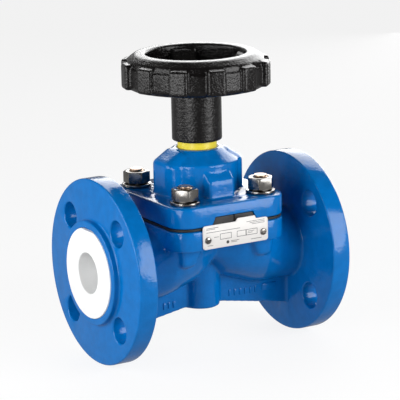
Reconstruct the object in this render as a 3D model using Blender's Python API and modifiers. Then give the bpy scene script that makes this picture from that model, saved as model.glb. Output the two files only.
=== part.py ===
"""Weir-type diaphragm valve, DN 40 PN 16, with flanged ends, a lined body and a rising handwheel.

Metres, +Z up. The origin is where the bore's axis (X) crosses the spindle's axis (Z). The valve is
modelled 5 mm off its seat. Every piece is a separate closed solid, and pieces that touch keep a gap.
"""

import math

import bmesh
import bpy
from mathutils import Matrix, Vector

MM = 0.001
GAP = 0.3 * MM

# Pipe ends: EN 1092-2 flanges, at the EN 558 series 1 length and 3 mm of lining at each end
FACE_TO_FACE = 206 * MM
FLANGE_RADIUS = 75 * MM
FLANGE_THICKNESS = 16 * MM
BOLT_HOLES = 4
BOLT_HOLE_RADIUS = 10.5 * MM
BOLT_EDGE_DISTANCE = 20 * MM
BOLT_CIRCLE_RADIUS = FLANGE_RADIUS - BOLT_EDGE_DISTANCE
BOLT_FACE_WALL = 2.5 * MM
RAISED_FACE_RADIUS = BOLT_CIRCLE_RADIUS - BOLT_HOLE_RADIUS - BOLT_FACE_WALL
RAISED_FACE_HEIGHT = 5 * MM
RAISED_FACE_RING = 5.5 * MM
LINER_PROUD = 1 * MM

# Casting
CAST_BORE_RADIUS = 20 * MM
NECK_RADIUS = 30 * MM
BOWL_HALF_WIDTH = 42 * MM
BOWL_WIDEST_Z = 16 * MM
SADDLE_HALF_WIDTH = 30 * MM
WEB_THICKNESS = 10 * MM
WEB_INNER_DEPTH = 40 * MM
WEB_OUTER_DEPTH = 53 * MM
FOOT_RADIUS = 15.7 * MM
FOOT_DEPTH = 42.5 * MM
WEIR_HEIGHT = 4 * MM
CHAMBER_HALF_WIDTH = 29 * MM
CHAMBER_ROOF_Z = 28 * MM
SEAT_HALF_X = 40 * MM
SEAT_HALF_Y = 36 * MM

# Joint between body and bonnet
JOINT_Z = 35 * MM
JOINT_HALF_X = 52 * MM
JOINT_HALF_Y = 56 * MM
JOINT_CORNER = 17 * MM
BODY_JOINT_THICKNESS = 16 * MM
JOINT_OPENING = 2.5 * MM
BONNET_JOINT_THICKNESS = 17 * MM
STUD_X = 35 * MM
STUD_Y = 39 * MM
STUD_RADIUS = 6 * MM
STUD_DEPTH = 22 * MM
STUD_CLEARANCE = 0.75 * MM
STUD_BOSS_RADIUS = 12 * MM
WASHER_RADIUS = 12 * MM
WASHER_THICKNESS = 2.5 * MM
NUT_ACROSS_FLATS = 19 * MM
NUT_HEIGHT = 10 * MM
STUD_PROUD = 1.7 * MM

# Lining and diaphragm
LINER_THICKNESS = 3.2 * MM
LINER_DISC_RADIUS = RAISED_FACE_RADIUS - RAISED_FACE_RING
LINER_LIP_WIDTH = 6 * MM
LINER_LIP_THICKNESS = 3 * MM
RUBBER_INSET = 0.8 * MM
RUBBER_SHOULDER_INSET = 5.3 * MM
RUBBER_SHOULDER_HEIGHT = 5 * MM
RUBBER_THICKNESS = 4 * MM
FACING_THICKNESS = 1.5 * MM
FACING_RIM_WIDTH = 8 * MM
REST_OPENING = 5 * MM
TAB_HEIGHT = 7 * MM
NOTCH_HALF_BOTTOM = 21 * MM
NOTCH_HALF_TOP = 17.5 * MM
NOTCH_HEIGHT = 7.5 * MM
NOTCH_DEPTH = 6 * MM
TAB_SPLIT = 0.8 * MM

# Position indicator and the seal that it slides in
RUNNING_GAP = 0.4 * MM
INDICATOR_RADIUS = 15.9 * MM
INDICATOR_WALL = 3 * MM
INDICATOR_SHOWING = 6 * MM
INDICATOR_HIDDEN = 16 * MM
INDICATOR_SEAT = 8 * MM
INDICATOR_BORE = INDICATOR_RADIUS + RUNNING_GAP
SEAL_WIDTH = 2 * MM
SEAL_HEIGHT = 3 * MM
SEAL_PROUD = 0.5 * MM

# Bonnet tower
TOWER_TOP_WALL = 0.9 * MM
TOWER_TOP_RADIUS = INDICATOR_BORE + SEAL_WIDTH + GAP + TOWER_TOP_WALL
TOWER_TOP_Z = 90 * MM
TOWER_SHOULDER_WIDTH = 12.5 * MM
TOWER_RADIUS = TOWER_TOP_RADIUS + TOWER_SHOULDER_WIDTH
TOWER_SHOULDER_Z = 80 * MM
WING_X_REACH = 3 * MM
WING_X_END = TOWER_RADIUS + WING_X_REACH
WING_X_HALF = 17 * MM
WING_X_SHOULDER_Z = 80.5 * MM
WING_X_LEDGE = 1 * MM
WING_X_TOP = TOWER_TOP_RADIUS + WING_X_LEDGE
WING_Y_END = 38 * MM
WING_Y_HALF = 12 * MM
WING_Y_SHOULDER_Z = 68 * MM
WING_Y_TOP = 15 * MM
CAVITY_RADIUS = 21 * MM
CAVITY_TOP_Z = 60 * MM
PARTITION_THICKNESS = 6 * MM

# Lifting gear
SPINDLE_RADIUS = 8 * MM
SPINDLE_SEAT_RADIUS = 7 * MM
SPINDLE_END_RADIUS = 6 * MM
COLLAR_RADIUS = 11 * MM
COLLAR_HEIGHT = 5.9 * MM
THRUST_WASHER_THICKNESS = 1.7 * MM
BUSH_RADIUS = 12 * MM
BUSH_COLLAR_RADIUS = 15 * MM
BUSH_COLLAR_HEIGHT = 3.2 * MM
BUSH_HEIGHT = 29.5 * MM
PRESSER_HUB_RADIUS = 14 * MM
PRESSER_FLOOR_Z = 30 * MM
PRESSER_ROOF = 4.5 * MM
FIN_THICKNESS = 5.4 * MM
FIN_REACH = 23 * MM
ANCHOR_HEAD_RADIUS = 6 * MM
ANCHOR_RADIUS = 3.5 * MM
PIN_RADIUS = 1.5 * MM
PIN_Z = 26 * MM
PIN_LENGTH = 26 * MM

# Handwheel
HUB_WALL = 4.3 * MM
HUB_RADIUS = INDICATOR_RADIUS + HUB_WALL
HUB_TOP_Z = 147 * MM
RIM_BOTTOM_Z = 139 * MM
RIM_TOP_Z = 167 * MM
RIM_RADIUS = 56.3 * MM
RIM_INNER_RADIUS = 40 * MM
LOBES = 12
LOBE_FIRST_ANGLE = 15.9
LOBE_RADIUS = 60 * MM
LOBE_WIDTH = 15 * MM
LOBE_BOTTOM_Z = 140.5 * MM
LOBE_TOP_Z = 161 * MM
SPOKES = 4
SPOKE_WIDTH = 21 * MM
SPOKE_THICKNESS = 9 * MM
KEY_WIDTH = 5 * MM
KEY_LENGTH = 25 * MM
HUB_WASHER_RADIUS = 11 * MM
HUB_WASHER_THICKNESS = 1.7 * MM
HUB_NUT_ACROSS_FLATS = 18 * MM
HUB_NUT_HEIGHT = 4.5 * MM
CAP_RADIUS = 15 * MM
CAP_WALL = 1.5 * MM
CAP_HEIGHT = 9 * MM

# Nameplate
PLATE_LENGTH = 60 * MM
PLATE_HEIGHT = 19 * MM
PLATE_THICKNESS = 1 * MM
PLATE_BOTTOM_Z = 20 * MM
PLATE_LUG_LENGTH = 19 * MM
PLATE_LUG_HEIGHT = 2.5 * MM
RIVET_HEAD_RADIUS = 2.5 * MM
RIVET_HEAD_HEIGHT = 1 * MM
RIVET_RADIUS = 1.25 * MM
RIVET_LENGTH = 5 * MM
RIVET_X = 25.5 * MM
RIVET_Z = 27.3 * MM

# Facets
LARGE_ROUND = 36
OFFSET_ROUND = 34
MEDIUM_ROUND = 24
SMALL_ROUND = 12
LOFT_ROUND = 20
DOME_RINGS = 9
MERGE = 0.00001

# Worked out from the above
FLANGE_FACE = FACE_TO_FACE / 2 - LINER_PROUD - RAISED_FACE_HEIGHT
FLANGE_BACK = FLANGE_FACE - FLANGE_THICKNESS
RAISED_FACE = FLANGE_FACE + RAISED_FACE_HEIGHT
BODY_JOINT_BOTTOM = JOINT_Z - BODY_JOINT_THICKNESS
BONNET_BOTTOM = JOINT_Z + JOINT_OPENING
BONNET_FLANGE_TOP = BONNET_BOTTOM + BONNET_JOINT_THICKNESS
RUBBER_BOTTOM = JOINT_Z + GAP
RUBBER_SHOULDER = BONNET_BOTTOM - GAP
RUBBER_TOP = RUBBER_SHOULDER + RUBBER_SHOULDER_HEIGHT
FACING_TOP = RUBBER_BOTTOM + FACING_THICKNESS
LINER_DEPTH = GAP + LINER_THICKNESS
LINED_WEIR = WEIR_HEIGHT + LINER_DEPTH
FACING_HALF = (SEAT_HALF_X - LINER_DEPTH - 1 * MM, SEAT_HALF_Y - LINER_DEPTH - 1 * MM,
               RUBBER_BOTTOM - LINED_WEIR - REST_OPENING)
PRESSER_TOP = PRESSER_FLOOR_Z + 2 * GAP + THRUST_WASHER_THICKNESS + COLLAR_HEIGHT + GAP + PRESSER_ROOF
PARTITION_TOP = CAVITY_TOP_Z + PARTITION_THICKNESS
HUB_BOTTOM_Z = TOWER_TOP_Z + INDICATOR_SHOWING
SPINDLE_SHOULDER = HUB_BOTTOM_Z + 2 * INDICATOR_SEAT
STUD_PLACES = ((-STUD_X, -STUD_Y), (STUD_X, -STUD_Y), (STUD_X, STUD_Y), (-STUD_X, STUD_Y))


def start_scene():
    """Remove what the scene holds and return the model's collection and the one for hidden shapes."""
    for obj in list(bpy.data.objects):
        bpy.data.objects.remove(obj, do_unlink=True)
    model = bpy.data.collections.new("diaphragm_valve")
    shapes = bpy.data.collections.new("cutters")
    for group in (model, shapes):
        bpy.context.scene.collection.children.link(group)
    return model, shapes


MODEL, SHAPES = start_scene()


def finish_mesh(name, mesh_data, matrix=None):
    """Turn a bmesh into a hidden object, which is a guide until keep() makes it a piece."""
    if matrix is not None:
        mesh_data.transform(matrix)
    mesh_data.normal_update()
    mesh = bpy.data.meshes.new(name)
    bmesh.ops.recalc_face_normals(mesh_data, faces=mesh_data.faces)
    mesh_data.to_mesh(mesh)
    mesh_data.free()
    obj = bpy.data.objects.new(name, mesh)
    SHAPES.objects.link(obj)
    obj.hide_render = True
    obj.display_type = "WIRE"
    return obj


def box(name, low, high, turn=0.0):
    """A box between two corners, turned about the Z axis by an angle in degrees."""
    mesh_data = bmesh.new()
    bmesh.ops.create_cube(mesh_data, size=1.0)
    low, high = Vector(low), Vector(high)
    size = Matrix.Diagonal((*(high - low), 1.0))
    place = Matrix.Rotation(math.radians(turn), 4, "Z") @ Matrix.Translation((low + high) / 2)
    return finish_mesh(name, mesh_data, place @ size)


def cylinder(name, radius, low, high, axis="Z", centre=(0.0, 0.0), sides=MEDIUM_ROUND, top_radius=None):
    """A cylinder or cone along an axis, from low to high, centred on the other two coordinates."""
    mesh_data = bmesh.new()
    bmesh.ops.create_cone(mesh_data, cap_ends=True, segments=sides, radius1=radius,
                          radius2=radius if top_radius is None else top_radius, depth=high - low)
    middle = (low + high) / 2
    if axis == "X":
        matrix = Matrix.Translation((middle, *centre)) @ Matrix.Rotation(math.pi / 2, 4, "Y")
    elif axis == "Y":
        matrix = Matrix.Translation((centre[0], middle, centre[1])) @ Matrix.Rotation(-math.pi / 2, 4, "X")
    else:
        matrix = Matrix.Translation((*centre, middle))
    return finish_mesh(name, mesh_data, matrix)


def ellipsoid(name, centre, halves, rings=DOME_RINGS):
    """An ellipsoid with its poles up and down."""
    mesh_data = bmesh.new()
    bmesh.ops.create_uvsphere(mesh_data, u_segments=2 * rings, v_segments=rings, radius=1.0)
    return finish_mesh(name, mesh_data, Matrix.Translation(centre) @ Matrix.Diagonal((*halves, 1.0)))


def rounded_plate(name, half_x, half_y, corner, low, high, edge=0.0):
    """A plate with rounded corners, and its upper and lower rims rounded by edge."""
    mesh_data = bmesh.new()
    bmesh.ops.create_cube(mesh_data, size=1.0)
    size = Matrix.Diagonal((2 * half_x, 2 * half_y, high - low, 1.0))
    mesh_data.transform(Matrix.Translation((0, 0, (low + high) / 2)) @ size)
    upright = [e for e in mesh_data.edges if abs(e.verts[0].co.z - e.verts[1].co.z) > (high - low) / 2]
    bmesh.ops.bevel(mesh_data, geom=upright, offset=corner, segments=3, affect="EDGES", profile=0.5)
    obj = finish_mesh(name, mesh_data)
    if edge:
        bevel = obj.modifiers.new("rounded_rims", "BEVEL")
        bevel.width = edge
        bevel.segments = 1
        bevel.limit_method = "ANGLE"
        bevel.angle_limit = math.radians(60)
    return obj


def prism(name, outline, half_thickness, axis="Y"):
    """A flat outline, given as (across, z) points, made thick along an axis."""
    curve = bpy.data.curves.new(name, "CURVE")
    curve.dimensions = "2D"
    curve.fill_mode = "BOTH"
    curve.extrude = half_thickness
    spline = curve.splines.new("POLY")
    spline.points.add(len(outline) - 1)
    for point, (across, up) in zip(spline.points, outline):
        point.co = (across, up, 0.0, 1.0)
    spline.use_cyclic_u = True
    drawn = bpy.data.objects.new(name + "_outline", curve)
    SHAPES.objects.link(drawn)
    evaluated = drawn.evaluated_get(bpy.context.evaluated_depsgraph_get())
    mesh = bpy.data.meshes.new_from_object(evaluated)
    bpy.data.objects.remove(drawn, do_unlink=True)
    mesh_data = bmesh.new()
    mesh_data.from_mesh(mesh)
    bmesh.ops.remove_doubles(mesh_data, verts=mesh_data.verts, dist=MERGE)
    matrix = Matrix.Rotation(math.pi / 2, 4, "X")
    if axis == "X":
        matrix = Matrix.Rotation(math.pi / 2, 4, "Z") @ matrix
    return finish_mesh(name, mesh_data, matrix)


def turned(name, profile, sides=LARGE_ROUND, axis="Z", closed=False):
    """A piece turned about its axis from (radius, along) points, down its outer side first."""
    mesh = bpy.data.meshes.new(name)
    count = len(profile)
    edges = [(i, i + 1) for i in range(count - 1)] + ([(count - 1, 0)] if closed else [])
    mesh.from_pydata([(radius, 0.0, along) for radius, along in profile], edges, [])
    obj = bpy.data.objects.new(name, mesh)
    SHAPES.objects.link(obj)
    obj.hide_render = True
    obj.display_type = "WIRE"
    screw = obj.modifiers.new("turn", "SCREW")
    screw.steps = screw.render_steps = sides
    screw.use_merge_vertices = True
    screw.merge_threshold = MERGE
    if axis == "X":
        obj.rotation_euler = (0.0, math.pi / 2, 0.0)
    return obj


def ring(name, outer, inner, low, high, sides=MEDIUM_ROUND, rim=0.0):
    """A washer, sleeve or bush on the Z axis, with its outer rims cut back by rim."""
    profile = [(inner, high), (outer - rim, high)]
    profile += [(outer, high - rim), (outer, low + rim)] if rim else []
    profile += [(outer - rim, low), (inner, low)]
    return turned(name, profile, sides, closed=True)


def combine(target, operation, *others):
    """Add or cut other shapes with Boolean modifiers, in order."""
    for other in others:
        modifier = target.modifiers.new(other.name, "BOOLEAN")
        modifier.operation = operation
        modifier.object = other
    return target


def join(target, *others):
    """Unite shapes with a target."""
    return combine(target, "UNION", *others)


def cut(target, *others):
    """Cut shapes away from a target."""
    return combine(target, "DIFFERENCE", *others)


def smooth_through(points, x):
    """A smooth curve through (x, value) points, level beyond both ends."""
    if x <= points[0][0]:
        return points[0][1]
    for (x0, y0), (x1, y1) in zip(points, points[1:]):
        if x <= x1:
            share = (x - x0) / (x1 - x0)
            before = points[max(points.index((x0, y0)) - 1, 0)]
            after = points[min(points.index((x1, y1)) + 1, len(points) - 1)]
            slope0 = (y1 - before[1]) / max(x1 - before[0], MERGE) * (x1 - x0)
            slope1 = (after[1] - y0) / max(after[0] - x0, MERGE) * (x1 - x0)
            s2, s3 = share ** 2, share ** 3
            return ((2 * s3 - 3 * s2 + 1) * y0 + (s3 - 2 * s2 + share) * slope0
                    + (3 * s2 - 2 * s3) * y1 + (s3 - s2) * slope1)
    return points[-1][1]


def loft(name, stations, section, sides=LOFT_ROUND):
    """A skin over oval sections along X. section(x) gives half width, lowest, middle and highest z."""
    mesh_data = bmesh.new()
    loops = []
    for x in stations:
        half_width, lowest, middle, highest = section(x)
        loop = []
        for i in range(sides):
            angle = 2 * math.pi * i / sides
            reach = (highest - middle) if math.sin(angle) > 0 else (middle - lowest)
            loop.append(mesh_data.verts.new((x, half_width * math.cos(angle),
                                             middle + reach * math.sin(angle))))
        loops.append(loop)
    for before, after in zip(loops, loops[1:]):
        for i in range(sides):
            j = (i + 1) % sides
            mesh_data.faces.new((before[i], before[j], after[j], after[i]))
    mesh_data.faces.new(loops[0])
    mesh_data.faces.new(list(reversed(loops[-1])))
    return finish_mesh(name, mesh_data)


def keep(obj, name, material, parent=None):
    """Make a hidden shape one of the model's pieces, with its name, material and parent."""
    SHAPES.objects.unlink(obj)
    MODEL.objects.link(obj)
    obj.name = name
    obj.hide_render = False
    obj.display_type = "TEXTURED"
    obj.data.materials.clear()
    obj.data.materials.append(material)
    for face in obj.data.polygons:
        face.use_smooth = True
    obj.data.set_sharp_from_angle(angle=math.radians(35))
    if parent is not None:
        obj.parent = parent
        obj.matrix_parent_inverse = parent.matrix_world.inverted()
    return obj


def make_material(name, colour, roughness, metallic=0.0):
    """A plain Principled finish."""
    material = bpy.data.materials.new(name)
    material.use_nodes = True
    shader = material.node_tree.nodes["Principled BSDF"]
    shader.inputs["Base Color"].default_value = (*colour, 1.0)
    shader.inputs["Roughness"].default_value = roughness
    shader.inputs["Metallic"].default_value = metallic
    return material


PAINT = make_material("blue_paint", (0.0, 0.10, 0.42), 0.25)
PTFE = make_material("white_ptfe", (0.86, 0.87, 0.87), 0.4)
RUBBER = make_material("black_rubber", (0.02, 0.02, 0.02), 0.7)
ZINC = make_material("bright_zinc", (0.62, 0.60, 0.56), 0.3, 1.0)
STEEL = make_material("spindle_steel", (0.55, 0.55, 0.56), 0.3, 1.0)
BRASS = make_material("brass", (0.70, 0.50, 0.20), 0.3, 1.0)
IRON = make_material("cast_iron", (0.16, 0.16, 0.17), 0.6, 1.0)
BLACK = make_material("black_wheel", (0.022, 0.020, 0.020), 0.4)
YELLOW = make_material("yellow_sleeve", (0.93, 0.72, 0.03), 0.35)
PLATE = make_material("plate_white", (0.80, 0.79, 0.76), 0.4)


def make_joint_empties():
    """One empty for the pieces that rise with the spindle, and one in it for those that turn."""
    lift = bpy.data.objects.new("lift_axis", None)
    turn = bpy.data.objects.new("handwheel_axis", None)
    for empty in (lift, turn):
        MODEL.objects.link(empty)
    turn.parent = lift
    turn.location = (0.0, 0.0, HUB_BOTTOM_Z)
    bpy.context.view_layer.update()
    return lift, turn


LIFT, TURN = make_joint_empties()

# Along X from the middle: the casting's lowest line as a share of the neck's radius, how far each bowl has
# swelled from the saddle's width, and how far the water way's floor has risen to the weir
BOWL_BOTTOM = [(x * MM, depth / 30) for x, depth in
               ((0, -6), (6, -12), (12, -17), (20, -20.5), (30, -24), (40, -27.5), (50, -29.5), (60, -30))]
BOWL_WIDTH = [(x * MM, share) for x, share in ((0, 0.0), (10, 0.36), (20, 0.76), (36, 1.0))]
CHAMBER_BOTTOM = [(x * MM, share) for x, share in
                  ((0, 1.0), (5, 0.92), (12, 0.58), (20, 0.33), (30, 0.17), (40, 0.06), (50, 0.0))]


def bowl_section(x):
    """The casting's outer section: round necks, and under the joint two bowls with a saddle between."""
    x = abs(x)
    neck = smooth_through([(44 * MM, 0.0), (54 * MM, 0.45), (66 * MM, 1.0)], x)
    bowl_half = SADDLE_HALF_WIDTH + (BOWL_HALF_WIDTH - SADDLE_HALF_WIDTH) * smooth_through(BOWL_WIDTH, x)
    half_width = bowl_half + (NECK_RADIUS - bowl_half) * neck
    lowest = smooth_through(BOWL_BOTTOM, x) * NECK_RADIUS
    bowl_top = JOINT_Z - 2 * MM
    return half_width, lowest, BOWL_WIDEST_Z * (1 - neck), bowl_top + (NECK_RADIUS - bowl_top) * neck


def chamber_section(x, inset):
    """The water way's section, level in the ends and rising to the weir in the middle."""
    x = abs(x)
    radius = CAST_BORE_RADIUS - inset
    end = smooth_through([(38 * MM, 0.0), (50 * MM, 0.5), (62 * MM, 1.0)], x)
    weir = smooth_through(CHAMBER_BOTTOM, x)
    chamber_half = CHAMBER_HALF_WIDTH - inset
    roof = CHAMBER_ROOF_Z - inset
    half_width = chamber_half + (radius - chamber_half) * end
    lowest = -radius + (WEIR_HEIGHT + 1 * MM + inset + radius) * weir
    return half_width, lowest, (12 + 12 * weir) * MM * (1 - end), roof + (radius - roof) * end


def water_way(name, inset):
    """The hollow through the body: the chamber, and the seat's bowl open to the joint."""
    ends = [FACE_TO_FACE / 2 + 5 * MM, 62 * MM, 54 * MM, 46 * MM, 38 * MM, 28 * MM, 18 * MM, 10 * MM, 4 * MM]
    stations = [-x for x in ends] + [0.0] + ends[::-1]
    way = loft(name, stations, lambda x: chamber_section(x, inset))
    seat = ellipsoid(name + "_seat", (0, 0, JOINT_Z),
                     (SEAT_HALF_X - inset, SEAT_HALF_Y - inset, JOINT_Z - WEIR_HEIGHT - inset))
    return join(way, seat)


def oval(name, half_x, half_y, low, high, sides=LARGE_ROUND):
    """An upright oval disc."""
    mesh_data = bmesh.new()
    bmesh.ops.create_cone(mesh_data, cap_ends=True, segments=sides, radius1=1.0, radius2=1.0, depth=high - low)
    matrix = Matrix.Translation((0, 0, (low + high) / 2)) @ Matrix.Diagonal((half_x, half_y, 1.0, 1.0))
    return finish_mesh(name, mesh_data, matrix)


def stud_holes(radius, low, high):
    """Four cutters where the studs pass."""
    return [cylinder(f"stud_hole_{i}", radius, low, high, centre=place, sides=SMALL_ROUND)
            for i, place in enumerate(STUD_PLACES, 1)]


def make_flange(name, side):
    """One pipe flange with its raised face, on the side of -1 or +1."""
    fillet = 3 * MM
    profile = [(0.0, RAISED_FACE), (RAISED_FACE_RADIUS, RAISED_FACE), (RAISED_FACE_RADIUS, FLANGE_FACE),
               (FLANGE_RADIUS, FLANGE_FACE), (FLANGE_RADIUS, FLANGE_BACK), (NECK_RADIUS + fillet, FLANGE_BACK),
               (NECK_RADIUS - fillet / 2, FLANGE_BACK - 2 * fillet), (0.0, FLANGE_BACK - 2 * fillet)]
    flange = turned(name, profile, LARGE_ROUND, axis="X")
    if side < 0:
        flange.rotation_euler = (0.0, -math.pi / 2, 0.0)
    return flange


def make_body():
    """The casting: flanges, necks, bowls, joint flange, stud bosses, webs and foot, then its hollows."""
    neck_end = FLANGE_BACK + 3 * MM
    half = [0.0, 6 * MM, 12 * MM, 20 * MM, 30 * MM, 40 * MM, 48 * MM, 56 * MM, 66 * MM, neck_end]
    body = loft("bowls", [-x for x in half[:0:-1]] + half, bowl_section)
    join(body, rounded_plate("body_joint", JOINT_HALF_X, JOINT_HALF_Y, JOINT_CORNER, BODY_JOINT_BOTTOM, JOINT_Z,
                             edge=1 * MM))
    for i, place in enumerate(STUD_PLACES, 1):
        join(body, cylinder(f"stud_boss_{i}", 0.6 * STUD_BOSS_RADIUS, -4 * MM, BODY_JOINT_BOTTOM + 2 * MM,
                            centre=place, sides=SMALL_ROUND, top_radius=STUD_BOSS_RADIUS))
    join(body, cylinder("foot", FOOT_RADIUS, -FOOT_DEPTH, 0.0))
    web_top = -12 * MM
    for side in (-1, 1):
        inner, outer = side * 8 * MM, side * (FLANGE_BACK + 2 * MM)
        outline = [(inner, web_top), (inner, -WEB_INNER_DEPTH), (outer, -WEB_OUTER_DEPTH), (outer, web_top)]
        label = "left" if side < 0 else "right"
        join(body, prism(f"web_{label}", outline, WEB_THICKNESS / 2), make_flange(f"flange_{label}", side))
    cut(body, water_way("casting_hollow", 0.0))
    cut(body, oval("lip_recess", SEAT_HALF_X + LINER_LIP_WIDTH + GAP, SEAT_HALF_Y + LINER_LIP_WIDTH + GAP,
                   JOINT_Z - LINER_LIP_THICKNESS - GAP, JOINT_Z + 1 * MM))
    disc_recess = RAISED_FACE + LINER_PROUD - LINER_DEPTH
    for side in (-1, 1):
        near, far = sorted((side * disc_recess, side * (RAISED_FACE + 1 * MM)))
        cut(body, cylinder(f"disc_recess_{side}", LINER_DISC_RADIUS + GAP, near, far, "X", sides=OFFSET_ROUND))
        near, far = sorted((side * (FLANGE_BACK - 1 * MM), side * (FLANGE_FACE + 1 * MM)))
        for i in range(BOLT_HOLES):
            angle = 2 * math.pi * (i + 0.5) / BOLT_HOLES
            centre = (BOLT_CIRCLE_RADIUS * math.cos(angle), BOLT_CIRCLE_RADIUS * math.sin(angle))
            cut(body, cylinder(f"bolt_hole_{side}_{i}", BOLT_HOLE_RADIUS, near, far, "X", centre,
                               SMALL_ROUND))
    cut(body, *stud_holes(STUD_RADIUS + GAP, JOINT_Z - STUD_DEPTH - 3 * MM, JOINT_Z + 1 * MM))
    for side in (-1, 1):
        cut(body, cylinder(f"rivet_hole_{side}", RIVET_RADIUS + GAP, -JOINT_HALF_Y - 1 * MM,
                           -JOINT_HALF_Y + RIVET_LENGTH + 1 * MM, "Y", (side * RIVET_X, RIVET_Z), SMALL_ROUND))
    return keep(body, "body", PAINT)


def make_lining():
    """The lining: the hollow's own shape, thick by the liner, with a disc on each flange and a lip on top."""
    lining = water_way("body_lining", GAP)
    for side in (-1, 1):
        near, far = sorted((side * (FACE_TO_FACE / 2 - LINER_THICKNESS), side * (FACE_TO_FACE / 2 + 4 * MM)))
        join(lining, cylinder(f"liner_disc_{side}", LINER_DISC_RADIUS, near, far, "X", sides=LARGE_ROUND))
    join(lining, oval("liner_lip", SEAT_HALF_X + LINER_LIP_WIDTH, SEAT_HALF_Y + LINER_LIP_WIDTH,
                      JOINT_Z - LINER_LIP_THICKNESS, JOINT_Z + 4 * MM))
    cut(lining, water_way("lined_hollow", LINER_DEPTH))
    far = FACE_TO_FACE
    cut(lining, box("above_joint", (-far, -far, JOINT_Z), (far, far, far)))
    for side in (-1, 1):
        near, end = sorted((side * FACE_TO_FACE / 2, side * far))
        cut(lining, box(f"past_face_{side}", (near, -far, -far), (end, far, far)))
    return keep(lining, "body_lining", PTFE)


def dome(name, halves, above):
    """An ellipsoid centred at the diaphragm's underside, without what is over a level."""
    shape = ellipsoid(name, (0, 0, RUBBER_BOTTOM), halves)
    reach = 2 * max(halves)
    return cut(shape, box(name + "_top", (-reach, -reach, above), (reach, reach, above + reach)))


def make_diaphragm():
    """The PTFE facing, and behind it the rubber with its rim, its split tab and its centre boss."""
    facing = dome("diaphragm_facing", FACING_HALF, FACING_TOP)
    rim_x, rim_y = FACING_HALF[0] + FACING_RIM_WIDTH, FACING_HALF[1] + FACING_RIM_WIDTH
    join(facing, oval("facing_rim", rim_x, rim_y, RUBBER_BOTTOM, FACING_TOP))
    cut(facing, dome("facing_inside", [half - FACING_THICKNESS for half in FACING_HALF], FACING_TOP + 1 * MM))
    rubber_half = [half - FACING_THICKNESS - GAP for half in FACING_HALF]
    rubber = rounded_plate("rubber_rim", JOINT_HALF_X - RUBBER_INSET, JOINT_HALF_Y - RUBBER_INSET,
                           JOINT_CORNER - RUBBER_INSET, RUBBER_BOTTOM, RUBBER_SHOULDER)
    inset = RUBBER_SHOULDER_INSET
    join(rubber, rounded_plate("rubber_shoulder", JOINT_HALF_X - inset, JOINT_HALF_Y - inset,
                               JOINT_CORNER - inset, FACING_TOP - 0.5 * MM, RUBBER_TOP))
    slope = (NOTCH_HALF_BOTTOM - NOTCH_HALF_TOP) / NOTCH_HEIGHT
    tab_top = RUBBER_SHOULDER + TAB_HEIGHT
    for side in (-1, 1):
        foot, head = NOTCH_HALF_BOTTOM - 2 * GAP, NOTCH_HALF_BOTTOM - slope * TAB_HEIGHT - 2 * GAP
        outline = [(side * TAB_SPLIT / 2, RUBBER_BOTTOM + 1 * MM), (side * foot, RUBBER_BOTTOM + 1 * MM),
                   (side * head, tab_top), (side * TAB_SPLIT / 2, tab_top)]
        half = (NOTCH_DEPTH - GAP - RUBBER_INSET) / 2
        tab = prism(f"tab_{side}", outline, half)
        tab.data.transform(Matrix.Translation((0, RUBBER_INSET + half - JOINT_HALF_Y, 0)))
        join(rubber, tab)
    cut(rubber, oval("facing_recess", rim_x + GAP, rim_y + GAP, RUBBER_BOTTOM - 1 * MM, FACING_TOP + GAP))
    hung = dome("rubber_dome", rubber_half, FACING_TOP + 1 * MM)
    inside = [half - RUBBER_THICKNESS for half in rubber_half]
    join(rubber, hung)
    cut(rubber, ellipsoid("rubber_inside", (0, 0, RUBBER_BOTTOM), inside))
    boss_top = RUBBER_BOTTOM - inside[2] + 4 * MM
    head_bottom = RUBBER_BOTTOM - rubber_half[2] + 2 * MM
    join(rubber, cylinder("anchor_boss", ANCHOR_HEAD_RADIUS + 2 * MM, head_bottom - 1 * MM, boss_top))
    head_top = head_bottom + 2.5 * MM
    cut(rubber, cylinder("anchor_head_pocket", ANCHOR_HEAD_RADIUS + GAP, head_bottom - GAP, head_top + GAP),
        cylinder("anchor_pocket", ANCHOR_RADIUS + GAP, head_top, boss_top + 1 * MM))
    cut(rubber, *stud_holes(STUD_RADIUS + STUD_CLEARANCE, JOINT_Z, RUBBER_TOP + 1 * MM))
    keep(facing, "diaphragm_facing", PTFE, LIFT)
    keep(rubber, "diaphragm", RUBBER, LIFT)
    return head_bottom, head_top, boss_top, inside


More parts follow.
